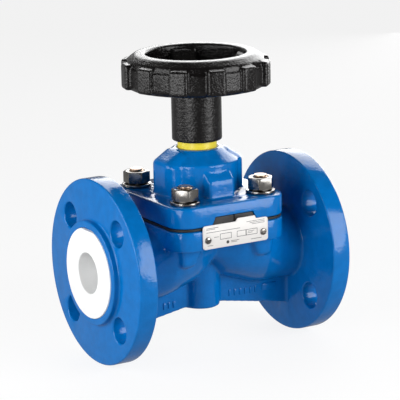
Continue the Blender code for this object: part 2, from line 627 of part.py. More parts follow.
def make_lifting_gear(head_bottom, head_top, boss_top, inside):
    """The compressor, the diaphragm's stud with its pin, and the thrust washer."""
    anchor_top = PRESSER_FLOOR_Z - GAP
    anchor = turned("diaphragm_stud", [(0, anchor_top), (ANCHOR_RADIUS, anchor_top), (ANCHOR_RADIUS, head_top),
                                       (ANCHOR_HEAD_RADIUS, head_top), (ANCHOR_HEAD_RADIUS, head_bottom),
                                       (0, head_bottom)], MEDIUM_ROUND)
    reach = PIN_LENGTH / 2
    cut(anchor, cylinder("anchor_cross_hole", PIN_RADIUS + GAP, -reach, reach, "X", (0.0, PIN_Z), SMALL_ROUND))
    keep(anchor, "diaphragm_stud", STEEL, LIFT)
    keep(cylinder("compressor_pin", PIN_RADIUS, -reach, reach, "X", (0.0, PIN_Z), SMALL_ROUND),
         "compressor_pin", STEEL, LIFT)
    presser = dome("compressor", [inside[0] - 3 * MM, inside[1] - 3 * MM, inside[2] - 0.5 * MM], PRESSER_FLOOR_Z)
    join(presser, cylinder("presser_hub", PRESSER_HUB_RADIUS, PRESSER_FLOOR_Z - 4 * MM, PRESSER_TOP),
         box("presser_fins", (-FIN_REACH, -FIN_THICKNESS / 2, PRESSER_FLOOR_Z - 2 * MM),
             (FIN_REACH, FIN_THICKNESS / 2, PRESSER_TOP - 1 * MM)))
    slot, neck = COLLAR_RADIUS + RUNNING_GAP, SPINDLE_RADIUS + RUNNING_GAP
    roof_z = PRESSER_TOP - PRESSER_ROOF
    open_side = -PRESSER_HUB_RADIUS - 1 * MM
    cut(presser, box("collar_slot", (-slot, open_side, PRESSER_FLOOR_Z), (slot, slot, roof_z)),
        box("neck_slot", (-neck, open_side, roof_z - 1 * MM), (neck, neck, PRESSER_TOP + 1 * MM)),
        cylinder("boss_pocket", ANCHOR_HEAD_RADIUS + 2 * MM + GAP, 0.0, boss_top + GAP),
        cylinder("anchor_hole", ANCHOR_RADIUS + GAP, boss_top, PRESSER_FLOOR_Z + 1 * MM),
        cylinder("pin_hole", PIN_RADIUS + GAP, -inside[0], inside[0], "X", (0.0, PIN_Z), SMALL_ROUND))
    keep(presser, "compressor", IRON, LIFT)
    washer_low = PRESSER_FLOOR_Z + GAP
    keep(ring("thrust_washer", COLLAR_RADIUS - 0.5 * MM, ANCHOR_RADIUS, washer_low,
              washer_low + THRUST_WASHER_THICKNESS), "thrust_washer", BRASS, LIFT)


def make_bonnet():
    """The bonnet: joint flange and plus-shaped tower, with the cavity, the guide grooves and the bores."""
    bonnet = rounded_plate("bonnet_flange", JOINT_HALF_X, JOINT_HALF_Y, JOINT_CORNER, BONNET_BOTTOM,
                           BONNET_FLANGE_TOP, edge=1.5 * MM)
    root_z = BONNET_FLANGE_TOP - 6 * MM
    join(bonnet, turned("tower", [(0, TOWER_TOP_Z), (TOWER_TOP_RADIUS, TOWER_TOP_Z),
                                  (TOWER_RADIUS, TOWER_SHOULDER_Z), (TOWER_RADIUS, root_z), (0, root_z)]))
    wings = (("X", WING_X_END, WING_X_HALF, WING_X_SHOULDER_Z, WING_X_TOP, "Y"),
             ("Y", WING_Y_END, WING_Y_HALF, WING_Y_SHOULDER_Z, WING_Y_TOP, "X"))
    for label, end, half, shoulder, top, thick_axis in wings:
        lid = TOWER_TOP_Z - 0.5 * MM
        outline = [(-end, root_z), (end, root_z), (end, shoulder), (top, lid), (-top, lid), (-end, shoulder)]
        wing = prism(f"wing_{label}", outline, half, thick_axis)
        bevel = wing.modifiers.new("rounded_edges", "BEVEL")
        bevel.width = 2 * MM
        bevel.segments = 1
        bevel.limit_method = "ANGLE"
        bevel.angle_limit = math.radians(25)
        join(bonnet, wing)
    inset = RUBBER_SHOULDER_INSET - GAP
    recess_top = RUBBER_TOP + GAP
    cut(bonnet, rounded_plate("rubber_recess", JOINT_HALF_X - inset, JOINT_HALF_Y - inset, JOINT_CORNER - inset,
                              BONNET_BOTTOM - 1 * MM, recess_top))
    cut(bonnet, oval("lower_cavity", SEAT_HALF_X - 7 * MM, SEAT_HALF_Y - 7 * MM, BONNET_BOTTOM, recess_top + 6 * MM))
    groove = FIN_THICKNESS / 2 + GAP
    cut(bonnet, cylinder("cavity", CAVITY_RADIUS, BONNET_BOTTOM, CAVITY_TOP_Z),
        box("guide_grooves", (-FIN_REACH - 2 * GAP, -groove, BONNET_BOTTOM),
            (FIN_REACH + 2 * GAP, groove, CAVITY_TOP_Z - 1 * MM)),
        cylinder("bush_hole", BUSH_RADIUS + GAP, CAVITY_TOP_Z - 1 * MM, TOWER_TOP_Z),
        cylinder("indicator_bore", INDICATOR_BORE, PARTITION_TOP, TOWER_TOP_Z + 1 * MM, sides=LARGE_ROUND),
        cylinder("seal_recess", INDICATOR_BORE + SEAL_WIDTH + GAP, TOWER_TOP_Z + SEAL_PROUD - SEAL_HEIGHT - GAP,
                 TOWER_TOP_Z + 1 * MM, sides=LARGE_ROUND))
    notch_foot = 2 * NOTCH_HALF_BOTTOM - NOTCH_HALF_TOP
    outline = [(-notch_foot, BONNET_BOTTOM - NOTCH_HEIGHT), (notch_foot, BONNET_BOTTOM - NOTCH_HEIGHT),
               (NOTCH_HALF_TOP, BONNET_BOTTOM + NOTCH_HEIGHT), (-NOTCH_HALF_TOP, BONNET_BOTTOM + NOTCH_HEIGHT)]
    notch = prism("notch", outline, NOTCH_DEPTH)
    notch.data.transform(Matrix.Translation((0, -JOINT_HALF_Y, 0)))
    cut(bonnet, notch)
    cut(bonnet, *stud_holes(STUD_RADIUS + STUD_CLEARANCE, BONNET_BOTTOM, BONNET_FLANGE_TOP + 1 * MM))
    return keep(bonnet, "bonnet", PAINT)


def make_bonnet_fittings():
    """The brass nut that the spindle turns in, and the wiper round the indicator."""
    collar_top = CAVITY_TOP_Z - GAP
    collar_bottom = collar_top - BUSH_COLLAR_HEIGHT
    hole = SPINDLE_RADIUS + RUNNING_GAP
    top = collar_bottom + BUSH_HEIGHT
    bush = turned("spindle_nut", [(hole, top), (BUSH_RADIUS, top), (BUSH_RADIUS, collar_top),
                                  (BUSH_COLLAR_RADIUS, collar_top), (BUSH_COLLAR_RADIUS, collar_bottom),
                                  (hole, collar_bottom)], MEDIUM_ROUND, closed=True)
    keep(bush, "spindle_nut", BRASS)
    seal_top = TOWER_TOP_Z + SEAL_PROUD
    keep(ring("indicator_seal", INDICATOR_BORE + SEAL_WIDTH, INDICATOR_BORE, seal_top - SEAL_HEIGHT, seal_top,
              LARGE_ROUND), "indicator_seal", RUBBER)


def hexagon(name, across_flats, hole, low, high, centre=(0.0, 0.0)):
    """A hexagon nut with a plain hole."""
    nut = cylinder(name, across_flats / math.sqrt(3), low, high, centre=centre, sides=6)
    return cut(nut, cylinder(name + "_thread", hole, low - 1 * MM, high + 1 * MM, centre=centre,
                             sides=SMALL_ROUND))


def make_bonnet_fasteners():
    """Four sets of stud, washer and nut."""
    washer_low = BONNET_FLANGE_TOP + GAP
    nut_low = washer_low + WASHER_THICKNESS + GAP
    nut_high = nut_low + NUT_HEIGHT
    end = nut_high + STUD_PROUD
    tip = 1 * MM
    low = JOINT_Z - STUD_DEPTH
    for i, place in enumerate(STUD_PLACES, 1):
        stud = turned(f"bonnet_stud_{i}", [(0, end), (STUD_RADIUS - tip, end), (STUD_RADIUS, end - tip),
                                           (STUD_RADIUS, low + tip), (STUD_RADIUS - tip, low), (0, low)],
                      SMALL_ROUND)
        stud.location = (*place, 0.0)
        washer = ring(f"bonnet_washer_{i}", WASHER_RADIUS, STUD_RADIUS + GAP, washer_low,
                      washer_low + WASHER_THICKNESS)
        washer.location = (*place, 0.0)
        nut = hexagon(f"bonnet_nut_{i}", NUT_ACROSS_FLATS, STUD_RADIUS + GAP, nut_low, nut_high, place)
        for piece in (stud, washer, nut):
            keep(piece, piece.name, ZINC)


def make_spindle():
    """The spindle: collar, threaded length, seat for the wheel with its keyway, and the end for the nut."""
    collar_low = PRESSER_FLOOR_Z + 2 * GAP + THRUST_WASHER_THICKNESS
    collar_high = collar_low + COLLAR_HEIGHT - GAP
    end = HUB_TOP_Z + 2 * GAP + HUB_WASHER_THICKNESS + HUB_NUT_HEIGHT
    tip = 1 * MM
    spindle = turned("spindle", [(0, end), (SPINDLE_END_RADIUS - tip, end), (SPINDLE_END_RADIUS, end - tip),
                                 (SPINDLE_END_RADIUS, HUB_TOP_Z), (SPINDLE_SEAT_RADIUS, HUB_TOP_Z),
                                 (SPINDLE_SEAT_RADIUS, SPINDLE_SHOULDER - GAP),
                                 (SPINDLE_RADIUS, SPINDLE_SHOULDER - GAP), (SPINDLE_RADIUS, collar_high),
                                 (COLLAR_RADIUS, collar_high), (COLLAR_RADIUS, collar_low), (0, collar_low)],
                     MEDIUM_ROUND)
    key_low = SPINDLE_SHOULDER + 5 * MM
    key_high = key_low + KEY_LENGTH
    deep, far = SPINDLE_SEAT_RADIUS - KEY_WIDTH / 2, SPINDLE_SEAT_RADIUS + KEY_WIDTH / 2
    cut(spindle, box("keyway", (deep - GAP, -KEY_WIDTH / 2 - GAP, key_low - GAP),
                     (far + GAP, KEY_WIDTH / 2 + GAP, key_high + GAP)))
    keep(spindle, "spindle", STEEL, TURN)
    keep(box("wheel_key", (deep, -KEY_WIDTH / 2, key_low), (far, KEY_WIDTH / 2, key_high)), "wheel_key", STEEL,
         TURN)
    return box("hub_keyway", (0.0, -KEY_WIDTH / 2 - GAP, SPINDLE_SHOULDER),
               (far + GAP, KEY_WIDTH / 2 + GAP, HUB_TOP_Z + 1 * MM))


def make_handwheel(keyway):
    """The wheel: hub, spokes dished up to a chunky rim, and the grips round it."""
    rim_width = RIM_RADIUS - RIM_INNER_RADIUS
    round_edge = 6 * MM
    rim = turned("rim", [(RIM_INNER_RADIUS + 2 * MM, RIM_TOP_Z), (RIM_INNER_RADIUS + rim_width / 2, RIM_TOP_Z),
                         (RIM_RADIUS - 2 * MM, RIM_TOP_Z - 4 * MM), (RIM_RADIUS, RIM_TOP_Z - 2 * round_edge),
                         (RIM_RADIUS, RIM_BOTTOM_Z + round_edge), (RIM_RADIUS - 2 * MM, RIM_BOTTOM_Z + 2 * MM),
                         (RIM_RADIUS - round_edge, RIM_BOTTOM_Z), (RIM_INNER_RADIUS + 4 * MM, RIM_BOTTOM_Z),
                         (RIM_INNER_RADIUS, RIM_BOTTOM_Z + 5 * MM), (RIM_INNER_RADIUS, RIM_TOP_Z - 2 * MM)],
                 LARGE_ROUND, closed=True)
    rounding = 2.5 * MM
    for i in range(LOBES):
        lobe = box(f"lobe_{i}", (RIM_RADIUS - 6 * MM, -LOBE_WIDTH / 2, LOBE_BOTTOM_Z),
                   (LOBE_RADIUS, LOBE_WIDTH / 2, LOBE_TOP_Z))
        bevel = lobe.modifiers.new("rounded", "BEVEL")
        bevel.width = rounding
        bevel.segments = 1
        lobe.rotation_euler = (0.0, 0.0, math.radians(LOBE_FIRST_ANGLE + 360 / LOBES * i))
        join(rim, lobe)
    hub = turned("hub", [(0, HUB_TOP_Z), (HUB_RADIUS - 1 * MM, HUB_TOP_Z), (HUB_RADIUS, HUB_TOP_Z - 1 * MM),
                         (HUB_RADIUS, HUB_BOTTOM_Z + 1 * MM), (HUB_RADIUS - 1 * MM, HUB_BOTTOM_Z),
                         (0, HUB_BOTTOM_Z)])
    join(rim, hub)
    spoke_in, spoke_out = HUB_RADIUS - 4 * MM, RIM_INNER_RADIUS + 5 * MM
    out_top, in_top = RIM_TOP_Z - 4 * MM, HUB_TOP_Z - 0.5 * MM
    for i in range(SPOKES):
        outline = [(spoke_in, in_top - SPOKE_THICKNESS), (spoke_out, out_top - 1.6 * SPOKE_THICKNESS),
                   (spoke_out, out_top), (RIM_INNER_RADIUS - 2 * MM, out_top), (HUB_RADIUS + 1 * MM, in_top),
                   (spoke_in, in_top)]
        spoke = prism(f"spoke_{i}", outline, SPOKE_WIDTH / 2)
        spoke.rotation_euler = (0.0, 0.0, math.radians(LOBE_FIRST_ANGLE + 60 + 360 / SPOKES * i))
        join(rim, spoke)
    sleeve_top = HUB_BOTTOM_Z + INDICATOR_SEAT
    cut(rim, cylinder("sleeve_seat", INDICATOR_RADIUS + GAP, HUB_BOTTOM_Z - 1 * MM, sleeve_top + GAP,
                      sides=LARGE_ROUND),
        cylinder("spindle_hole", SPINDLE_RADIUS + GAP, sleeve_top, SPINDLE_SHOULDER),
        cylinder("seat_hole", SPINDLE_SEAT_RADIUS + GAP, SPINDLE_SHOULDER - 1 * MM, HUB_TOP_Z + 1 * MM), keyway)
    keep(rim, "handwheel", BLACK, TURN)
    keep(ring("position_indicator", INDICATOR_RADIUS, INDICATOR_RADIUS - INDICATOR_WALL,
              TOWER_TOP_Z - INDICATOR_HIDDEN, sleeve_top, LARGE_ROUND), "position_indicator", YELLOW, TURN)


def make_hub_fastening():
    """The washer, nut and cap on top of the hub."""
    washer_low = HUB_TOP_Z + GAP
    hole = SPINDLE_END_RADIUS + GAP
    keep(ring("hub_washer", HUB_WASHER_RADIUS, hole, washer_low, washer_low + HUB_WASHER_THICKNESS, SMALL_ROUND * 2),
         "hub_washer", ZINC, TURN)
    nut_low = washer_low + HUB_WASHER_THICKNESS + GAP
    keep(hexagon("hub_nut", HUB_NUT_ACROSS_FLATS, hole, nut_low, nut_low + HUB_NUT_HEIGHT),
         "hub_nut", ZINC, TURN)
    cap_top = washer_low + CAP_HEIGHT
    edge = 1.5 * MM
    inner = CAP_RADIUS - CAP_WALL
    cap = turned("hub_cap", [(0, cap_top), (CAP_RADIUS - edge, cap_top), (CAP_RADIUS, cap_top - edge),
                             (CAP_RADIUS, washer_low), (inner, washer_low), (inner, cap_top - CAP_WALL),
                             (0, cap_top - CAP_WALL)], MEDIUM_ROUND)
    keep(cap, "hub_cap", BLACK, TURN)


def make_nameplate():
    """The blank plate on the joint flange and its two drive screws."""
    back = -JOINT_HALF_Y - GAP
    top = PLATE_BOTTOM_Z + PLATE_HEIGHT
    half = PLATE_LENGTH / 2
    corner = 2 * MM
    outline = [(-half + corner, PLATE_BOTTOM_Z), (half - corner, PLATE_BOTTOM_Z), (half, PLATE_BOTTOM_Z + corner),
               (half, top - corner), (half - corner, top), (PLATE_LUG_LENGTH + 1 * MM, top),
               (PLATE_LUG_LENGTH - 1 * MM, top + PLATE_LUG_HEIGHT), (2 * MM, top + PLATE_LUG_HEIGHT),
               (0.0, top), (-half + corner, top), (-half, top - corner), (-half, PLATE_BOTTOM_Z + corner)]
    plate = prism("nameplate", outline, PLATE_THICKNESS / 2)
    plate.data.transform(Matrix.Translation((0, back - PLATE_THICKNESS / 2, 0)))
    front = back - PLATE_THICKNESS
    head_top, head_edge = GAP + RIVET_HEAD_HEIGHT, GAP + 0.4 * RIVET_HEAD_HEIGHT
    profile = [(0, head_top), (0.6 * RIVET_HEAD_RADIUS, head_top), (RIVET_HEAD_RADIUS, head_edge),
               (RIVET_HEAD_RADIUS, GAP), (RIVET_RADIUS, GAP), (RIVET_RADIUS, -RIVET_LENGTH), (0, -RIVET_LENGTH)]
    for side, label in ((-1, "left"), (1, "right")):
        centre = (side * RIVET_X, RIVET_Z)
        cut(plate, cylinder(f"rivet_way_{label}", RIVET_RADIUS + GAP, front - 1 * MM, back + 1 * MM, "Y", centre,
                            SMALL_ROUND))
        rivet = turned(f"rivet_{label}", profile, SMALL_ROUND)
        rivet.rotation_euler = (math.pi / 2, 0.0, 0.0)
        rivet.location = (centre[0], front, centre[1])
        keep(rivet, f"nameplate_rivet_{label}", ZINC)
    keep(plate, "nameplate", PLATE)


make_body()
make_lining()
make_lifting_gear(*make_diaphragm())
make_bonnet()
make_bonnet_fittings()
make_bonnet_fasteners()
make_handwheel(make_spindle())
make_hub_fastening()
make_nameplate()
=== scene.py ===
"""Looks of a flanged diaphragm valve with a lined body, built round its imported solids.

Each sub-assembly is a class that holds its sizes, models its pieces and dresses them. Sizes are in
metres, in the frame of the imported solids: X along the bore, Z up the spindle, the nameplate at -Y.
"""

import logging
import math
import sys
from abc import ABC, abstractmethod
from dataclasses import dataclass, field
from enum import Enum
from typing import Callable, Iterable, Sequence

import bmesh
import bpy
from mathutils import Matrix, Vector

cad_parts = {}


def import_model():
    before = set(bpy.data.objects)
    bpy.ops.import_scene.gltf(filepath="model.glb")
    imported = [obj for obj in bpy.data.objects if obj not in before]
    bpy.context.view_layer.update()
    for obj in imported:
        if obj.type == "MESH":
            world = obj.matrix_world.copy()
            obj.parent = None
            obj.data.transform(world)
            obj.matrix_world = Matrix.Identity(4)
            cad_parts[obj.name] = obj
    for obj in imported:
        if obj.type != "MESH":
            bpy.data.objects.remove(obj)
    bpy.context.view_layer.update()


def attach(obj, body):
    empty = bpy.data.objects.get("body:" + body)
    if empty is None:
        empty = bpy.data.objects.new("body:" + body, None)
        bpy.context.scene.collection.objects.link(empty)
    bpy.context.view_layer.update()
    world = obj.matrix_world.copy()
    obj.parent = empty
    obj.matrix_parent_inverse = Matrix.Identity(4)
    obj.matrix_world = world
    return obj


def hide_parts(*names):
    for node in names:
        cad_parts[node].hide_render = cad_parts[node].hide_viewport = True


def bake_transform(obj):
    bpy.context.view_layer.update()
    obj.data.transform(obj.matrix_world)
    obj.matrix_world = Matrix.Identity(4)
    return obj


BMesh = bmesh.types.BMesh
Point2 = tuple[float, float]
Colour = tuple[float, float, float]
Section = tuple[float, float, float, float]
Value = bpy.types.NodeSocket | float

MM = 0.001
WELD = 1e-6  # points nearer than this are one
STRAIGHT = 1e-4  # an angle nearer than this to straight takes no fillet
PAST = 1 * MM  # how far a cutter passes the face that it opens
FAR = 200 * MM  # past the whole valve
FULL_TURN = 2 * math.pi
BOOLEAN_SOLVER = "MANIFOLD"

log = logging.getLogger("diaphragm_valve")


class Body(Enum):
    """The rigid bodies that pieces ride on."""

    VALVE = "valve_body"
    LIFT = "lifting_set"
    WHEEL = "wheel_set"


class Slot(Enum):
    """Names of material slots; each piece is passed one, which piece() does not use."""

    PAINT = "blue_paint"
    PTFE = "white_ptfe"
    RUBBER = "black_rubber"
    ZINC = "bright_zinc"
    STEEL = "spindle_steel"
    WHEEL = "black_wheel"
    YELLOW = "yellow_sleeve"
    PLATE = "plate_white"


class Axis(Enum):
    """The way a turned or extruded shape's own Z axis is laid."""

    X = "x"
    Y = "y"
    Z = "z"

    def matrix(self) -> Matrix:
        """Lay +Z along this axis.

        Returns:
            The rotation that does so.
        """
        if self is Axis.X:
            return Matrix.Rotation(math.pi / 2, 4, "Y")
        if self is Axis.Y:
            return Matrix.Rotation(-math.pi / 2, 4, "X")
        return Matrix.Identity(4)


class Operation(Enum):
    """How a Boolean combines two closed shapes."""

    UNION = "UNION"
    CUT = "DIFFERENCE"
    COMMON = "INTERSECT"


# ---------------------------------------------------------------- shapes


def fillet_path(corners: Sequence[tuple[float, float, float]], closed: bool = False,
                segments: int = 5) -> list[Point2]:
    """Round the corners of a flat path with arcs.

    Args:
        corners: Points as (across, along, radius), where a radius of 0 stays sharp.
        closed: Whether the last point joins the first.
        segments: Chords in each arc.

    Returns:
        The path's points.
    """
    count = len(corners)
    path: list[Point2] = []
    for i, (x, y, radius) in enumerate(corners):
        here = Vector((x, y))
        end = not closed and i in (0, count - 1)
        before = Vector(corners[i - 1][:2]) - here
        after = Vector(corners[(i + 1) % count][:2]) - here
        if end or radius <= 0 or min(before.length, after.length) < WELD:
            path.append((x, y))
            continue
        before.normalize()
        after.normalize()
        half = before.angle(after) / 2
        if abs(half - math.pi / 2) < STRAIGHT:
            path.append((x, y))
            continue
        centre = here + (before + after).normalized() * (radius / math.sin(half))
        start = here + before * (radius / math.tan(half)) - centre
        finish = here + after * (radius / math.tan(half)) - centre
        turn = start.angle_signed(finish)
        for step in range(segments + 1):
            angle = -turn * step / segments
            cos, sin = math.cos(angle), math.sin(angle)
            path.append((centre.x + start.x * cos - start.y * sin, centre.y + start.x * sin + start.y * cos))
    return path


def smooth_through(points: Sequence[Point2], x: float) -> float:
    """Read a smooth curve through points, level beyond both ends.

    Args:
        points: The points as (x, value), in the order of x.
        x: Where the curve is read.

    Returns:
        Its value there.
    """
    if x <= points[0][0]:
        return points[0][1]
    for i in range(len(points) - 1):
        (x0, y0), (x1, y1) = points[i], points[i + 1]
        if x <= x1:
            (xa, ya), (xb, yb) = points[max(i - 1, 0)], points[min(i + 2, len(points) - 1)]
            share = (x - x0) / (x1 - x0)
            slope0 = (y1 - ya) / (x1 - xa) * (x1 - x0)
            slope1 = (yb - y0) / (xb - x0) * (x1 - x0)
            s2, s3 = share ** 2, share ** 3
            return ((2 * s3 - 3 * s2 + 1) * y0 + (s3 - 2 * s2 + share) * slope0
                    + (3 * s2 - 2 * s3) * y1 + (s3 - s2) * slope1)
    return points[-1][1]


def outward(mesh: BMesh) -> BMesh:
    """Merge doubles and point every face out.

    Args:
        mesh: The mesh, which is changed.

    Returns:
        The same mesh.
    """
    bmesh.ops.remove_doubles(mesh, verts=mesh.verts, dist=WELD)
    mesh.normal_update()
    bmesh.ops.recalc_face_normals(mesh, faces=mesh.faces)
    return mesh


def turned(profile: Sequence[Point2], steps: int = 96, axis: Axis = Axis.Z, closed: bool = False) -> BMesh:
    """Spin a profile of (radius, along) points into a solid.

    Args:
        profile: The outline, from one pole or end to the other, or a closed loop.
        steps: Facets round the axis.
        axis: The axis it is laid on.
        closed: Whether the profile is a closed loop, as for a ring.

    Returns:
        The closed mesh.
    """
    mesh = bmesh.new()
    verts = [mesh.verts.new((radius, 0.0, along)) for radius, along in profile]
    pairs = list(zip(verts, verts[1:])) + ([(verts[-1], verts[0])] if closed else [])
    edges = [mesh.edges.new(pair) for pair in pairs]
    bmesh.ops.spin(mesh, geom=verts + edges, cent=(0, 0, 0), axis=(0, 0, 1), angle=FULL_TURN, steps=steps,
                   use_merge=True)
    mesh.transform(axis.matrix())
    return outward(mesh)


def block(low: Sequence[float], high: Sequence[float], edge: float = 0.0, segments: int = 3) -> BMesh:
    """Make a box between two corners.

    Args:
        low: The corner with the lowest x, y and z.
        high: The corner opposite.
        edge: The rounding of its edges.
        segments: Segments in that rounding.

    Returns:
        The closed mesh.
    """
    mesh = bmesh.new()
    bmesh.ops.create_cube(mesh, size=1.0)
    lower, upper = Vector(low), Vector(high)
    mesh.transform(Matrix.Translation((lower + upper) / 2) @ Matrix.Diagonal((*(upper - lower), 1.0)))
    if edge:
        bmesh.ops.bevel(mesh, geom=list(mesh.edges), offset=edge, segments=segments, profile=0.5,
                        affect="EDGES", material=-1)
    return outward(mesh)


def prism(outline: Sequence[Point2], low: float, high: float, axis: Axis = Axis.Z, edge: float = 0.0,
          segments: int = 3) -> BMesh:
    """Extrude a flat outline.

    Args:
        outline: Points as (x, y) for Axis.Z, (x, z) for Axis.Y and (y, z) for Axis.X.
        low: Where it starts along the axis.
        high: Where it ends.
        axis: The way it is extruded.
        edge: The rounding of the rims of its two flat faces.
        segments: Segments in that rounding.

    Returns:
        The closed mesh.
    """
    places: dict[Axis, Callable[[float, float], tuple[float, float, float]]] = {
        Axis.Z: lambda a, b: (a, b, low),
        Axis.Y: lambda a, b: (a, low, b),
        Axis.X: lambda a, b: (low, a, b),
    }
    along = {Axis.Z: Vector((0, 0, 1)), Axis.Y: Vector((0, 1, 0)), Axis.X: Vector((1, 0, 0))}[axis]
    mesh = bmesh.new()
    face = mesh.faces.new([mesh.verts.new(places[axis](a, b)) for a, b in outline])
    pushed = bmesh.ops.extrude_face_region(mesh, geom=[face])
    moved = [item for item in pushed["geom"] if isinstance(item, bmesh.types.BMVert)]
    bmesh.ops.translate(mesh, verts=moved, vec=along * (high - low))
    outward(mesh)
    if edge:
        rims = [e for e in mesh.edges if abs((e.verts[0].co - e.verts[1].co).dot(along)) < (high - low) / 2]
        bmesh.ops.bevel(mesh, geom=rims, offset=edge, segments=segments, profile=0.5, affect="EDGES", material=-1)
    return outward(mesh)


def rounded_outline(half_x: float, half_y: float, corner: float) -> list[Point2]:
    """Return a rectangle's outline with round corners."""
    quarters = ((1, 1), (-1, 1), (-1, -1), (1, -1))
    return fillet_path([(x * half_x, y * half_y, corner) for x, y in quarters], closed=True, segments=10)


def oval_outline(half_x: float, half_y: float, count: int = 96) -> list[Point2]:
    """Return an oval's outline."""
    return [(half_x * math.cos(FULL_TURN * i / count), half_y * math.sin(FULL_TURN * i / count))
            for i in range(count)]


def drum(radius: float, low: float, high: float, axis: Axis = Axis.Z, centre: Sequence[float] = (0, 0, 0),
         edge: float = 0.0, steps: int = 64) -> BMesh:
    """Make a round bar.

    Args:
        radius: Its radius.
        low: Where it starts along its axis.
        high: Where it ends.
        axis: The way it lies.
        centre: How far it is moved from the origin.
        edge: The rounding of its rims.
        steps: Facets round it.

    Returns:
        The closed mesh.
    """
    corners = [(0.0, low, 0.0), (radius, low, edge), (radius, high, edge), (0.0, high, 0.0)]
    mesh = turned(fillet_path(corners, segments=4), steps, axis)
    mesh.transform(Matrix.Translation(centre))
    return mesh


def ellipsoid(centre: Sequence[float], halves: Sequence[float], rings: int) -> BMesh:
    """Make an ellipsoid with its poles up and down.

    Args:
        centre: Its centre.
        halves: Half its size in x, y and z.
        rings: Rings of facets from pole to pole.

    Returns:
        The closed mesh.
    """
    mesh = bmesh.new()
    bmesh.ops.create_uvsphere(mesh, u_segments=2 * rings, v_segments=rings, radius=1.0)
    mesh.transform(Matrix.Translation(centre) @ Matrix.Diagonal((*halves, 1.0)))
    return outward(mesh)


def lofted(stations: Sequence[float], section: Callable[[float], Section], sides: int) -> BMesh:
    """Skin oval sections that stand along X.

    Args:
        stations: Where the sections stand.
        section: Gives half width, lowest, middle and highest z at a station.
        sides: Points in a section.

    Returns:
        The closed mesh.
    """
    mesh = bmesh.new()
    before: list[bmesh.types.BMEdge] = []
    for x in stations:
        half_width, lowest, middle, highest = section(x)
        ring = bmesh.ops.create_circle(mesh, radius=1.0, segments=sides)["verts"]
        for vert in ring:
            across, up = vert.co.x, vert.co.y
            reach = highest - middle if up > 0 else middle - lowest
            vert.co = (x, half_width * across, middle + up * reach)
        edges = list({edge for vert in ring for edge in vert.link_edges
                      if edge.other_vert(vert) in ring and not edge.link_faces})
        if before:
            bmesh.ops.bridge_loops(mesh, edges=before + edges)
        before = edges
    bmesh.ops.holes_fill(mesh, edges=[edge for edge in mesh.edges if edge.is_boundary], sides=0)
    return outward(mesh)


def to_side(mesh: BMesh, side: int) -> BMesh:
    """Put a mesh that was made at +X on one side of the valve.

    Args:
        mesh: The mesh, which is changed.
        side: -1 or +1.

    Returns:
        The same mesh.
    """
    if side < 0:
        mesh.transform(Matrix.Rotation(math.pi, 4, "Z"))
    return mesh


def joined(parts: Iterable[BMesh]) -> BMesh:
    """Put several meshes in one, as loose shells.

    Args:
        parts: The meshes, which are used up.

    Returns:
        The one mesh.
    """
    whole = bmesh.new()
    for part in parts:
        mesh = bpy.data.meshes.new("part")
        part.to_mesh(mesh)
        part.free()
        whole.from_mesh(mesh)
        bpy.data.meshes.remove(mesh)
    return whole


def evaluated(mesh: BMesh, add_modifiers: Callable[[bpy.types.Object], None]) -> BMesh:
    """Run modifiers over a mesh.

    Args:
        mesh: The mesh, which is used up.
        add_modifiers: Adds them to the object that holds it for the while.

    Returns:
        What the modifiers make of it.
    """
    data = bpy.data.meshes.new("working")
    mesh.to_mesh(data)
    mesh.free()
    holder = bpy.data.objects.new("working", data)
    bpy.context.scene.collection.objects.link(holder)
    add_modifiers(holder)
    graph = bpy.context.evaluated_depsgraph_get()
    graph.update()
    result = bmesh.new()
    result.from_mesh(bpy.data.meshes.new_from_object(holder.evaluated_get(graph)))
    bpy.data.objects.remove(holder, do_unlink=True)
    bpy.data.meshes.remove(data)
    return result


def combined(base: BMesh, tools: Sequence[BMesh], operation: Operation) -> BMesh:
    """Combine closed shapes with a base, one after another.

    Args:
        base: The shape that is added to or cut. It is used up, as the tools are.
        tools: The other shapes.
        operation: What is done with each.

    Returns:
        The combined mesh.
    """
    holders: list[bpy.types.Object] = []
    for tool in tools:
        data = bpy.data.meshes.new("tool")
        tool.to_mesh(data)
        tool.free()
        holder = bpy.data.objects.new("tool", data)
        bpy.context.scene.collection.objects.link(holder)
        holders.append(holder)

    def add(base_object: bpy.types.Object) -> None:
        """Add one Boolean for each tool.

        Args:
            base_object: The object that holds the base.
        """
        for holder in holders:
            modifier = base_object.modifiers.new("boolean", "BOOLEAN")
            modifier.operation = operation.value
            modifier.solver = BOOLEAN_SOLVER
            modifier.object = holder

    result = evaluated(base, add)
    for holder in holders:
        data = holder.data
        bpy.data.objects.remove(holder, do_unlink=True)
        bpy.data.meshes.remove(data)
    return result


def cast(parts: Iterable[BMesh], grain: float, passes: int) -> BMesh:
    """Melt overlapping shapes into one skin with soft edges and filleted corners, as a casting has.

    Args:
        parts: The closed shapes.
        grain: The size of the skin's quads.
        passes: How often each point is moved halfway towards its neighbours.

    Returns:
        The closed skin.
    """
    def add(holder: bpy.types.Object) -> None:
        """Add the remesh and the smoothing.

        Args:
            holder: The object that holds the shapes.
        """
        remesh = holder.modifiers.new("melt", "REMESH")
        remesh.mode = "VOXEL"
        remesh.voxel_size = grain
        smooth = holder.modifiers.new("soften", "SMOOTH")
        smooth.factor = 0.5
        smooth.iterations = passes

    return outward(evaluated(joined(parts), add))


def ease_edges(mesh: BMesh, angle: float, offset: float) -> BMesh:
    """Round a mesh's sharp edges.

    Args:
        mesh: The mesh, which is changed.
        angle: The angle in degrees past which an edge is sharp.
        offset: The rounding.

    Returns:
        The same mesh.
    """
    mesh.normal_update()
    sharp = [e for e in mesh.edges if e.is_manifold and e.calc_face_angle(0.0) > math.radians(angle)]
    bmesh.ops.bevel(mesh, geom=sharp, offset=offset, segments=2, profile=0.5, affect="EDGES", material=-1,
                    clamp_overlap=True)
    return mesh


# ---------------------------------------------------------------- finishes


